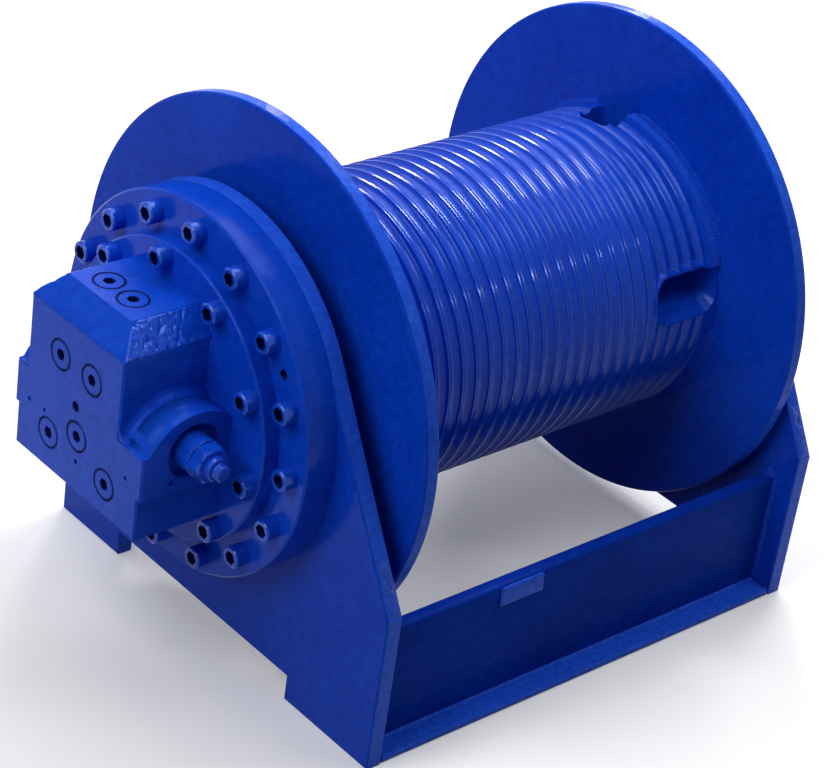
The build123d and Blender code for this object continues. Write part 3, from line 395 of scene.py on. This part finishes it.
def bore_thread(name, mount, mouth, pitch, length, node):
    """Screw thread in a bore: a sleeve whose outside lies along the bore's wall and whose inside is a V that
    climbs one pitch in each turn, from the bore's mouth inwards."""
    inward = -np.array(mount["axis"], float)
    radius = mount["dims"]["r_mm"] * MM
    side = np.cross(inward, UP)
    other = np.cross(inward, side)
    turn = np.linspace(0, 2 * pi, THREAD_SIDES + 1)[:, None]
    depth = np.linspace(0, length, int(length / pitch * PITCH_POINTS))[None, :]
    vee = np.abs(((depth / pitch - turn / (2 * pi)) % 1) * 2 - 1)
    fade = np.clip(np.minimum(depth, length - depth) / pitch, 0, 1)
    inner = radius - THREAD_GAP - THREAD_HEIGHT * pitch * vee * fade
    outside = np.full((len(turn), 2), radius - THREAD_GAP / 2)
    reach = np.concatenate([inner, outside, inner[:, :1]], 1)
    down = np.concatenate([depth, [[length, 0.0, 0.0]]], 1)
    round_way = np.cos(turn)[..., None] * side + np.sin(turn)[..., None] * other
    grid = np.asarray(mouth, float) + reach[..., None] * round_way[:, :1] + down[..., None] * inward
    # The thread is painted nearly black: painted shade in the bore
    return piece(name, grid, body_of_node[node], slot_of_node[node], smooth_angle=20, finish="socket_shade_paint")


# Materials

WHITE = "#FFFFFF"
MIRROR_TINT = "#A4BFFF"
# Paler blue of cut edges and rims: partly thin paint, partly a painted sheen for the light they catch
PALE_EDGE_SHEEN = "#2E66EA"

# Radians that the wave texture runs through in one unit, and pattern sizes in millimetres
WAVE_RADIANS = 20
FILM_PATCH = 140
FILM_SPOT = 9
PAINT_SAG = 26
CAST_SAND = 4.5
TORCH_MARK = 7
OIL_PATCH = 25


def linear(hex_code):
    """Scene-linear RGBA of an sRGB hex colour."""
    values = np.array([int(hex_code[place:place + 2], 16) for place in (1, 3, 5)]) / 255
    values = np.where(values <= 0.04045, values / 12.92, ((values + 0.055) / 1.055) ** 2.4)
    return (*values.tolist(), 1.0)


def per(size):
    """Texture scale that gives features of a size in millimetres."""
    return 1 / (size * MM)


def add(tree, kind, inputs=None, **settings):
    """Adds a shader node: settings are its own properties, inputs are socket values or links to sockets."""
    made = tree.nodes.new("ShaderNode" + kind)
    for name, value in settings.items():
        setattr(made, name, value)
    for name, value in (inputs or {}).items():
        if isinstance(value, bpy.types.NodeSocket):
            tree.links.new(value, made.inputs[name])
        else:
            made.inputs[name].default_value = value
    return made


def start(name, **sockets):
    """New material with its shader's sockets set, and its node tree, shader and object coordinates."""
    material = bpy.data.materials.new(name)
    material.use_nodes = True
    tree = material.node_tree
    shader = tree.nodes["Principled BSDF"]
    for socket, value in sockets.items():
        shader.inputs[socket.replace("_", " ")].default_value = value
    return material, tree, shader, add(tree, "TexCoord").outputs["Object"]


def blue_enamel(name, thin, thick, peel, shine, gloss=(0.12, 0.2), grain=0.0, cut_edges_and_sheen=False):
    """Sprayed alkyd enamel on steel: a deep glossy blue film, a little paler where it is thin, with an
    orange-peel skin and soft sags that break up the reflections. Peel is the size of that skin's bumps in
    millimetres, shine how strongly the film mirrors, gloss the range of its roughness, and grain the depth of
    the sand marks under it in millimetres. Cut edges, on faces turned across the x axis, are rougher and
    paler in mottled patches where a plate was flame cut across its thickness: paler partly from a thin film
    and partly as a painted sheen for the light that edges and rims catch."""
    material, tree, shader, place = start(name, Specular_IOR_Level=shine, Specular_Tint=linear(MIRROR_TINT))
    film = add(tree, "TexNoise", {"Vector": place, "Scale": per(FILM_PATCH), "Detail": 4.0})
    spots = add(tree, "TexNoise", {"Vector": place, "Scale": per(FILM_SPOT), "Detail": 3.0})
    mixed = add(tree, "Math", {0: film.outputs["Fac"], 1: spots.outputs["Fac"]}, operation="ADD")
    share = add(tree, "MapRange", {"Value": mixed.outputs[0], "From Min": 0.75, "From Max": 1.25})
    paint = add(tree, "Mix", {0: share.outputs[0], 6: linear(thin), 7: linear(thick)}, data_type="RGBA")
    haze = add(tree, "MapRange", {"Value": spots.outputs["Fac"], "From Min": 0.3, "From Max": 0.7,
                                  "To Min": gloss[0], "To Max": gloss[1]})
    tree.links.new(haze.outputs[0], shader.inputs["Roughness"])
    sag = add(tree, "TexNoise", {"Vector": place, "Scale": per(PAINT_SAG), "Detail": 1.0})
    normal = add(tree, "Bump", {"Strength": 0.5, "Distance": 0.35 * MM, "Height": sag.outputs["Fac"]})
    skin = add(tree, "TexNoise", {"Vector": place, "Scale": per(peel), "Detail": 1.5})
    normal = add(tree, "Bump", {"Strength": 0.5, "Distance": 0.06 * MM, "Height": skin.outputs["Fac"],
                                "Normal": normal.outputs[0]})
    if grain:
        sand = add(tree, "TexNoise", {"Vector": place, "Scale": per(CAST_SAND), "Detail": 4.0})
        normal = add(tree, "Bump", {"Strength": 0.6, "Distance": grain * MM, "Height": sand.outputs["Fac"],
                                    "Normal": normal.outputs[0]})
    # Paler mottled edges: partly thin paint on the cut, partly a painted sheen
    if cut_edges_and_sheen:
        facing = add(tree, "SeparateXYZ", {0: add(tree, "NewGeometry").outputs["Normal"]})
        side = add(tree, "Math", {0: facing.outputs["X"]}, operation="ABSOLUTE")
        edge = add(tree, "MapRange", {"Value": side.outputs[0], "From Min": 0.5, "From Max": 0.1})
        torch = add(tree, "TexNoise", {"Vector": place, "Scale": per(TORCH_MARK), "Detail": 3.0})
        rough = add(tree, "Math", {0: torch.outputs["Fac"], 1: edge.outputs[0]}, operation="MULTIPLY")
        paint = add(tree, "Mix", {0: rough.outputs[0], 6: paint.outputs[2], 7: linear(PALE_EDGE_SHEEN)},
                    data_type="RGBA")
        normal = add(tree, "Bump", {"Strength": 0.7, "Distance": 0.7 * MM, "Height": rough.outputs[0],
                                    "Normal": normal.outputs[0]})
    tree.links.new(paint.outputs[2], shader.inputs["Base Color"])
    tree.links.new(normal.outputs[0], shader.inputs["Normal"])
    return material


def bare_metal(name, dark, light, roughness, lines):
    """Machined metal: tool lines across the axis of turning, which stretch its reflections, and a faint
    film of oil that makes the colour uneven. Lines is their spacing in millimetres, drawn much coarser than
    a real cut so that it shows."""
    material, tree, shader, place = start(name, Metallic=1.0)
    tool = add(tree, "TexWave", {"Vector": place, "Scale": 2 * pi * per(lines) / WAVE_RADIANS,
                                 "Distortion": 1.5, "Detail": 2.0})
    oil = add(tree, "TexNoise", {"Vector": place, "Scale": per(OIL_PATCH), "Detail": 4.0})
    colour = add(tree, "Mix", {0: oil.outputs["Fac"], 6: linear(dark), 7: linear(light)}, data_type="RGBA")
    tree.links.new(colour.outputs[2], shader.inputs["Base Color"])
    shine = add(tree, "MapRange", {"Value": oil.outputs["Fac"], "To Min": roughness * 0.7,
                                   "To Max": roughness * 1.3})
    tree.links.new(shine.outputs[0], shader.inputs["Roughness"])
    normal = add(tree, "Bump", {"Strength": 0.3, "Distance": 0.03 * MM, "Height": tool.outputs["Fac"]})
    tree.links.new(normal.outputs[0], shader.inputs["Normal"])
    return material


def dull_solid(name, dark, light, roughness, grain):
    """Moulded nitrile or sintered lining: dull, with a fine even grain and pale dust on its bumps. Grain is
    the size of the grit in millimetres."""
    material, tree, shader, place = start(name, Specular_IOR_Level=0.4, Roughness=roughness)
    grit = add(tree, "TexNoise", {"Vector": place, "Scale": per(grain), "Detail": 5.0})
    dust = add(tree, "MapRange", {"Value": grit.outputs["Fac"], "From Min": 0.4, "From Max": 0.7})
    colour = add(tree, "Mix", {0: dust.outputs[0], 6: linear(dark), 7: linear(light)}, data_type="RGBA")
    tree.links.new(colour.outputs[2], shader.inputs["Base Color"])
    normal = add(tree, "Bump", {"Strength": 0.4, "Distance": 0.1 * MM, "Height": grit.outputs["Fac"]})
    tree.links.new(normal.outputs[0], shader.inputs["Normal"])
    return material


finishes = {
    # Smooth film on rolled plate, with rough edges where the plate was cut, paler partly from thin paint and
    # partly as a painted sheen
    "frame_paint": blue_enamel("plate_enamel", "#0B43C4", "#0536B0", peel=2.6, shine=0.09, cut_edges_and_sheen=True),
    # Drum flanges: the same rough cut edges, paler partly from thin paint and partly as a painted sheen
    "drum_paint": blue_enamel("drum_enamel", "#0B43C4", "#0536B0", peel=2.4, shine=0.05, cut_edges_and_sheen=True),
    # Smooth film on turned steel, with clear but weak reflections
    "housing_paint": blue_enamel("housing_enamel", "#0C46C8", "#0639B6", peel=2.4, shine=0.13),
    # Film on a sand casting, which shows the sand and blurs the reflections
    "casting_paint": blue_enamel("casting_enamel", "#0E48C8", "#073AB4", peel=2.2, shine=0.13,
                                 gloss=(0.22, 0.34), grain=0.12),
    # Thin film on bright screw heads, with sharp glints
    "fastener_paint": blue_enamel("fastener_enamel", "#0F4ACA", "#073AB4", peel=1.8, shine=0.7),
    # Thick wet film on the rope grooves, with a pale line along every crest
    "barrel_paint": blue_enamel("barrel_enamel", "#0C46C8", "#0639B6", peel=2.4, shine=0.36),
    # Dull film painted darker than the rest of the frame: painted shade for the web under the drum
    "web_shade_paint": blue_enamel("web_shade_enamel", "#0934A4", "#032A8E", peel=2.6, shine=0.02,
                             gloss=(0.3, 0.45)),
    # Thick film on rough lumps, which glitter
    "cast_skin_paint": blue_enamel("cast_skin_enamel", "#0E48C8", "#073AB4", peel=2.2, shine=0.4,
                                   gloss=(0.1, 0.18)),
    # Film in holes, painted nearly black: painted shade of the recesses
    "socket_shade_paint": blue_enamel("painted_shade_enamel", "#061A5C", "#020A30", peel=1.8, shine=0.05,
                                gloss=(0.5, 0.7)),
    # Dull black rubber and dull brown lining
    "seal_rubber": dull_solid("seal_nitrile", "#0B0B0C", "#232426", roughness=0.6, grain=0.8),
    "friction_lining": dull_solid("sintered_lining", "#2E2620", "#5C4B3C", roughness=0.85, grain=1.2),
    # Bare metals, from satin bronze and brass to oily dark springs and bright bearing rings
    "bush_bronze": bare_metal("bearing_bronze", "#8F6430", "#C79A56", roughness=0.32, lines=9.42),
    "nipple_brass": bare_metal("turned_brass", "#A5803A", "#DDBB6E", roughness=0.28, lines=6.28),
    "spring_steel": bare_metal("oiled_spring_steel", "#3A3B3E", "#5E6064", roughness=0.38, lines=12.57),
    "gear_steel": bare_metal("ground_gear_steel", "#7E7F82", "#B4B5B8", roughness=0.3, lines=7.54),
    "bearing_steel": bare_metal("polished_bearing_steel", "#B4B5B9", "#DADBDF", roughness=0.14, lines=5.03),
    "machined_steel": bare_metal("turned_steel", "#85868A", "#B9BABD", roughness=0.34, lines=10.05),
}
own_finish = {"drum_barrel": "barrel_paint", "front_plugs": "casting_paint", "top_plugs": "casting_paint"}
finish_of_node = slot_of_node | own_finish
for node, finish in finish_of_node.items():
    nodes[node].data.materials.clear()
    nodes[node].data.materials.append(finishes[finish])

# CAD pieces with corners that paint has rounded over, by a width in millimetres
EASED_EDGES = {
    "side_plate_motor_end": 1.0, "side_plate_far_end": 1.0, "drum_flange_motor_side": 1.2,
    "drum_flange_far_side": 1.2, "riser_strip": 0.8, "brake_housing": 1.0, "motor_flange": 1.0,
    "housing_screws": 0.7, "motor_flange_screws": 0.7, "front_plugs": 0.5,
    "top_plugs": 0.5, "relief_valve_body": 0.8, "relief_valve_screw": 0.6,
    "far_bearing_housing": 1.0, "far_housing_screws": 0.6, "far_bearing_cap": 1.0, "far_cap_screws": 0.5,
    "grease_nipple": 0.3,
}
for node, edge in EASED_EDGES.items():
    eased(node, edge * MM)
LONG_EDGE = 5 * MM
BLOCK_SLIVER = 0.3 * MM
eased("motor_block", 1.0 * MM, least=LONG_EDGE, closeness=BLOCK_SLIVER)
eased("relief_valve_nut", 0.7 * MM, least=LONG_EDGE)

frame_look = ("frame", "frame_paint")
drum_look = ("drum", "drum_paint")
casting_look = ("frame", "casting_paint")

# Frame bars and their welds
BAR_EDGE = 2.0 * MM
WEB_EDGE = 4 * MM
TAB_EDGE = 0.8 * MM
TAB_LEAN = 2.0 * MM
WEB_LEG = 4 * MM
TOP_LEG = 9 * MM
LIP_LEG = 3 * MM
TAB_LEG = 2.5 * MM
# The web's darker blue is painted shade under the drum
rounded_bar("front_web_plate", web_low, web_high, WEB_EDGE, "front_web", finish="web_shade_paint")
rounded_bar("front_lip_bar", lip_low, lip_high, BAR_EDGE, "front_lip")
rounded_bar("welded_tab", tab_low, tab_high, TAB_EDGE, "front_tab", lean=TAB_LEAN)
rounded_bar("rear_cross_bar", member_low, member_high, BAR_EDGE, "rear_cross_member")

web_faces = (("front", web_low[1], -BACK, lip_high[2]), ("back", web_high[1], BACK, 0.0))
member_faces = (("front", member_low[1], -BACK), ("back", member_high[1], BACK))
for end_name, x, towards in (("motor_end", web_low[0], ALONG), ("far_end", web_high[0], -ALONG)):
    for face_name, y, out, foot in web_faces:
        seam = straight((x, y, foot), (x, y, web_high[2]))
        corner_bead(f"web_weld_{face_name}_{end_name}", seam, towards, out, WEB_LEG, *frame_look, ripple=0.06)
    for face_name, y, out in member_faces:
        seam = straight((x, y, 0.0), (x, y, member_high[2]))
        corner_bead(f"member_weld_{face_name}_{end_name}", seam, towards, out, WEB_LEG, *frame_look)
    seam = straight((x, web_low[1], web_high[2]), (x, web_high[1], web_high[2]))
    corner_bead(f"web_weld_top_{end_name}", seam, towards, UP, TOP_LEG, *frame_look, ripple=0.35)
    seam = straight((x, member_low[1], member_high[2]), (x, member_high[1], member_high[2]))
    corner_bead(f"member_weld_top_{end_name}", seam, towards, UP, WEB_LEG, *frame_look)
lip_seam = straight((web_low[0], web_low[1], lip_high[2]), (web_high[0], web_low[1], lip_high[2]))
corner_bead("lip_weld", lip_seam, UP, -BACK, LIP_LEG, *frame_look, ripple=0.04)
tab_seam = straight((tab_low[0], web_low[1], tab_high[2]), (tab_high[0], web_low[1], tab_high[2]))
corner_bead("tab_weld", tab_seam, UP, -BACK, TAB_LEG, *frame_look, ripple=0.2)

# Ragged stretch of each plate's front edge, just above its knuckle
KNUCKLE_HEIGHT = 185 * MM
RAGGED_START = 1.5 * MM
RAGGED_LENGTH = 62 * MM
RAGGED_HEIGHT = 1.8 * MM
RAGGED_MARGIN = 2.2 * MM
RAGGED_SEED = 21
knuckle = np.array([0.0, plate_low[1], plate_low[2] + KNUCKLE_HEIGHT])
crown_middle = np.array([0.0, axis[1], axis[2]])
to_knuckle = knuckle - crown_middle
crown_radius = plate_high[2] - axis[2]
reach = np.linalg.norm(to_knuckle)
bearing = np.arctan2(to_knuckle[2], to_knuckle[1]) - np.arccos(crown_radius / reach)
slope_top = crown_middle + crown_radius * np.array([0.0, np.cos(bearing), np.sin(bearing)])
slope_way = (slope_top - knuckle) / np.linalg.norm(slope_top - knuckle)
foot, head = knuckle + RAGGED_START * slope_way, knuckle + RAGGED_LENGTH * slope_way
plates = (("motor_end", plate_low, plate_high), ("far_end", far_plate_low, far_plate_high))
for number, (end_name, low, high) in enumerate(plates):
    near, far = (low[0] + RAGGED_MARGIN) * ALONG, (high[0] - RAGGED_MARGIN) * ALONG
    cast_skin(f"ragged_edge_{end_name}", [near + foot, far + foot, far + head, near + head], RAGGED_HEIGHT,
              RAGGED_SEED + number, *frame_look, finish="cast_skin_paint")

# Drum welds
DRUM_LEG = 6 * MM
GROOVE_SINK = 6 * MM
RISER_LEG = 4 * MM
RISER_HEIGHT = 6 * MM
FAR_WELD_ARC = (184, 432)
RISER_ARC = (93, 156)
seam, outward = arc_round_drum(barrel_low[0], crest_radius, 0, 360)
corner_bead("drum_weld_motor_side", seam, outward, ALONG, DRUM_LEG, *drum_look, sink=GROOVE_SINK)
seam, outward = arc_round_drum(barrel_high[0], crest_radius, *FAR_WELD_ARC)
corner_bead("drum_weld_far_side", seam, outward, -ALONG, DRUM_LEG, *drum_look)
seam, outward = arc_round_drum(barrel_high[0], crest_radius + RISER_HEIGHT, *RISER_ARC)
corner_bead("riser_weld", seam, outward, -ALONG, RISER_LEG, *drum_look)

# Sleeve of the rope pocket, which holds the rope's end and closes the grooves that run into the pocket
POCKET_WIDTH = 94 * MM
POCKET_LENGTH = 42 * MM
POCKET_DEPTH = 70 * MM
SLEEVE_GAP = 0.15 * MM
SLEEVE_WALL = 2.0 * MM
SLEEVE_DROP = 0.4 * MM
mounts = {mount["name"]: mount for mount in record["mounts"]}
pocket_sleeve("rope_pocket_sleeve", mounts["rope_pocket"], *drum_look, finish="barrel_paint")

# Motor block: rough cast slopes, cast fillets over its lobes, and the paint-filled seam on its flange
SKIN_HEIGHT = 2.0 * MM
SLOPE_FADE = (1.0, 0.3)
SLOPE_SEED = 11
SHOULDER_DROP = 28 * MM
SLOPE_DEPTH = 25 * MM
FRONT_SIDE, BACK_SIDE = axis[1] - 67 * MM, axis[1] + 92 * MM
TOP_FRONT, TOP_BACK = axis[1] - 40 * MM, axis[1] + 66 * MM
LOBE_PLACE = (block_low[0] + 64 * MM, axis[2] - 17 * MM)
LOBE_RADIUS = 63 * MM
LOBE_FRONT_TOP = axis[2] + 11 * MM
LOBE_LEG = 9 * MM
LOBE_POINTS = 160
LEDGE_LENGTH = 13 * MM
LEDGE_LEG = 13 * MM
FRONT_GAP = 1.0 * MM
SEAM_LEG = 2.5 * MM
shoulder = block_high[2] - SHOULDER_DROP
front, mating = block_low[0], block_high[0]
first = np.arccos((mating - LOBE_PLACE[0]) / LOBE_RADIUS)
last = np.arccos((front + FRONT_GAP - LOBE_PLACE[0]) / (LOBE_RADIUS + LOBE_LEG))
turn = np.linspace(first, last, LOBE_POINTS)
spoke = np.stack([np.cos(turn), np.zeros_like(turn), np.sin(turn)], -1)
seam_foot = LOBE_PLACE[1] + LOBE_RADIUS * np.sin(first)
slopes = (("front_side", FRONT_SIDE, TOP_FRONT, -BACK), ("back_side", BACK_SIDE, TOP_BACK, BACK))
for number, (side_name, low_edge, top_edge, out) in enumerate(slopes):
    corners = [(front, low_edge, shoulder), (mating, low_edge, shoulder), (mating, top_edge, block_high[2]),
               (front + SLOPE_DEPTH, top_edge, block_high[2])]
    fade = SLOPE_FADE
    if side_name == "back_side":
        corners = [corners[place] for place in (1, 0, 3, 2)]
        fade = SLOPE_FADE[::-1]
    cast_skin(f"cast_slope_{side_name}", corners, SKIN_HEIGHT, SLOPE_SEED + number, *casting_look, fade=fade,
              finish="cast_skin_paint")
    ring = np.array([LOBE_PLACE[0], low_edge, LOBE_PLACE[1]]) + LOBE_RADIUS * spoke
    corner_bead(f"lobe_fillet_{side_name}", ring, spoke, out, LOBE_LEG, *casting_look, ripple=0.0, cast=True)
    ledge_end = np.array([front + FRONT_GAP, low_edge, LOBE_FRONT_TOP])
    ledge = straight(ledge_end + LEDGE_LENGTH * ALONG, ledge_end)
    corner_bead(f"ledge_fillet_{side_name}", ledge, UP, out, LEDGE_LEG, *casting_look, ripple=0.0, cast=True)
    seam = straight((mating, low_edge, seam_foot), (mating, low_edge, shoulder))
    corner_bead(f"block_seam_{side_name}", seam, out, -ALONG, SEAM_LEG, *casting_look, ripple=0.08)

# Threads in the open ports: their pitch and length, and where they start below the mouth, in millimetres
THREADS = (
    ("drain_port", 1.5, 12, "motor_block"), ("service_port_upper", 2.0, 19, "motor_block"),
    ("service_port_lower", 2.0, 19, "motor_block"), ("jack_hole", 1.75, 17, "brake_housing"),
)
THREAD_START = 1.5
for port, pitch, length, node in THREADS:
    mount = mounts[port]
    inset = mount["dims"]["length_mm"] / 2 - THREAD_START
    mouth = np.array(mount["pos_m"]) + np.array(mount["axis"]) * inset * MM
    bore_thread(port + "_thread", mount, mouth, pitch * MM, length * MM, node)

# Dark liners in the sockets of the screws and plugs and dark rings in the grooves round the plugs: painted
# shade in these recesses
SOCKET_GAP = 0.1 * MM
SOCKET_SKIN = 0.3 * MM
SOCKET_MOUTH = 1.0 * MM
SOCKET_SIDES = 6
GROOVE_SIDES = 48

# Places in from a plug's rim and depths of its groove's section, in millimetres
GROOVE_SECTION = ((2.6, 0.3), (2.2, 0.15), (0.5, 0.15), (0.0, 0.5), (0.0, 2.6), (2.6, 0.3))

# Way out of each group's sockets, with their width across flats and depth in millimetres
SOCKETS = (
    ("housing_screws", -ALONG, 13.76, 8.8), ("motor_flange_screws", -ALONG, 13.76, 8.8),
    ("far_housing_screws", ALONG, 10.32, 6.6), ("far_cap_screws", ALONG, 6.88, 4.4),
    ("front_plugs", -ALONG, 12.0, 8.0), ("top_plugs", UP, 12.0, 8.0),
)
for node, outward, width, deep in SOCKETS:
    lows, highs = solids_of(node)
    heads = (lows + highs) / 2 + outward * ((highs - lows) / 2 @ np.abs(outward))[:, None]
    wall = width * MM / (2 * cos(pi / 6)) - SOCKET_GAP
    floor_depth = deep * MM - SOCKET_GAP
    inner = wall - SOCKET_SKIN
    cup = [(0, -floor_depth), (wall, -floor_depth), (wall, -SOCKET_MOUTH), (inner, -SOCKET_MOUTH),
           (inner, SOCKET_SKIN - floor_depth), (0, SOCKET_SKIN - floor_depth)]
    painted_shade_look = (body_of_node[node], "fastener_paint", "socket_shade_paint")
    turned_group(node + "_socket_shade", heads, outward, BACK, cup, SOCKET_SIDES, *painted_shade_look)
    if "plugs" in node:
        rim = (highs - lows)[0, 1] / 2
        ring = [(rim - inset * MM, -depth * MM) for inset, depth in GROOVE_SECTION]
        turned_group(node + "_groove_shade", heads, outward, BACK, ring, GROOVE_SIDES, *painted_shade_look)

# Brake springs: a merged copy with a mesh of its own
springs = merged_copy("brake_springs", "disc_springs")
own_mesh(springs)

# Studio: a white floor and white walls, which give the object less light than they show
WALL_LIGHT = 0.08
FLOOR_TONE = "#B8B8B8"
FLOOR_REACH = 30.0
SHADOW_REACH = 1.0
SHADOW_GLOW = 0.2
floor_mesh = bpy.data.meshes.new("studio_floor")
floor_corners = [(-FLOOR_REACH, -FLOOR_REACH, 0), (FLOOR_REACH, -FLOOR_REACH, 0),
                 (FLOOR_REACH, FLOOR_REACH, 0), (-FLOOR_REACH, FLOOR_REACH, 0)]
floor_mesh.from_pydata(floor_corners, [], [(0, 1, 2, 3)])
floor = bpy.data.objects.new("studio_floor", floor_mesh)
bpy.context.collection.objects.link(floor)


def seen_rays(tree):
    """1 for a ray from the camera, straight, by a reflection or through glass, and 0 for other light."""
    path = add(tree, "LightPath")
    seen = add(tree, "Math", {0: path.outputs["Is Camera Ray"], 1: path.outputs["Is Glossy Ray"]},
               operation="MAXIMUM")
    seen = add(tree, "Math", {0: seen.outputs[0], 1: path.outputs["Is Transmission Ray"]},
               operation="MAXIMUM")
    return seen.outputs[0]


def white_floor():
    """Matt white paper: to the camera and in reflections it is nearly white with the object's shadow on
    it, and plain white further off, and it sends back less light to the object than it shows."""
    material = bpy.data.materials.new("studio_paper")
    material.use_nodes = True
    tree = material.node_tree
    tree.nodes.clear()
    seen = seen_rays(tree)
    tone = add(tree, "Mix", {0: seen, 6: linear(FLOOR_TONE), 7: linear(WHITE)}, data_type="RGBA")
    paper = add(tree, "BsdfDiffuse", {"Color": tone.outputs[2]})
    glow = add(tree, "Emission", {"Color": linear(WHITE), "Strength": 1.0})
    distance = add(tree, "VectorMath", {0: add(tree, "TexCoord").outputs["Object"]}, operation="LENGTH")
    plain = add(tree, "MapRange", {"Value": distance.outputs["Value"], "From Min": SHADOW_REACH,
                                   "From Max": 3 * SHADOW_REACH, "To Min": SHADOW_GLOW, "To Max": 1.0})
    share = add(tree, "Math", {0: seen, 1: plain.outputs[0]}, operation="MULTIPLY")
    both = add(tree, "MixShader", {0: share.outputs[0], 1: paper.outputs[0], 2: glow.outputs[0]})
    add(tree, "OutputMaterial", {"Surface": both.outputs[0]})
    return material


floor_mesh.materials.append(white_floor())

world = bpy.data.worlds.new("studio_walls")
bpy.context.scene.world = world
world.use_nodes = True
walls = world.node_tree
level = add(walls, "Mix", {0: seen_rays(walls), 2: WALL_LIGHT, 3: 1.0}, data_type="FLOAT")
walls.links.new(level.outputs[0], walls.nodes["Background"].inputs["Strength"])
walls.nodes["Background"].inputs["Color"].default_value = linear(WHITE)


def lamp(name, place, aim, energy, width, height):
    """Rectangular lamp at a place, pointed at an aim, with its energy in watts and its sides in metres."""
    data = bpy.data.lights.new(name, "AREA")
    data.energy = energy
    data.shape = "RECTANGLE"
    data.size, data.size_y = width, height
    shown = bpy.data.objects.new(name, data)
    shown.location = place
    shown.rotation_mode = "QUATERNION"
    shown.rotation_quaternion = (Vector(aim) - Vector(place)).to_track_quat("-Z", "Y")
    shown.visible_camera = False
    bpy.context.collection.objects.link(shown)


middle = Vector((0, 0, 0.3))
lamp("motor_end_soft", (-1.9, 0.0, 2.0), (-0.2, 0, 0.35), energy=33, width=1.6, height=1.6)
lamp("overhead_panel", (0.5, 0.9, 2.5), middle, energy=40, width=3.0, height=1.5)
lamp("front_overhead", (0.5, -0.9, 2.6), middle, energy=12, width=0.8, height=0.8)
lamp("back_lamp", (1.95, 2.05, 1.55), middle, energy=36, width=0.7, height=0.5)
lamp("barrel_lamp", (1.83, 0.6, 2.5), middle, energy=24, width=0.85, height=0.3)
lamp("front_lamp", (1.85, -1.8, 1.75), (0.05, -0.12, 0.41), energy=5, width=0.14, height=0.09)

# Camera
IMAGE_WIDTH = 826
FOCAL_PIXELS = 2791
azimuth, elevation, roll = radians(-44.754), radians(30.841), radians(8.546)
aim = Vector((0.0205, -0.014, 0.229))
distance = 3.075
back = Vector((sin(azimuth) * cos(elevation), -cos(azimuth) * cos(elevation), sin(elevation)))
right = Vector((cos(azimuth), sin(azimuth), 0))
upward = back.cross(right)
rolled_right = right * cos(roll) + upward * sin(roll)
rolled_up = upward * cos(roll) - right * sin(roll)
camera_data = bpy.data.cameras.new("view_camera")
camera_data.sensor_fit = "HORIZONTAL"
camera_data.sensor_width = 36
camera_data.lens = FOCAL_PIXELS / IMAGE_WIDTH * camera_data.sensor_width
camera = bpy.data.objects.new("view_camera", camera_data)
camera.matrix_world = Matrix.Translation(aim + back * distance) @ Matrix(
    (rolled_right, rolled_up, back)).transposed().to_4x4()
bpy.context.collection.objects.link(camera)
bpy.context.scene.camera = camera
bpy.context.scene.view_settings.view_transform = "Standard"
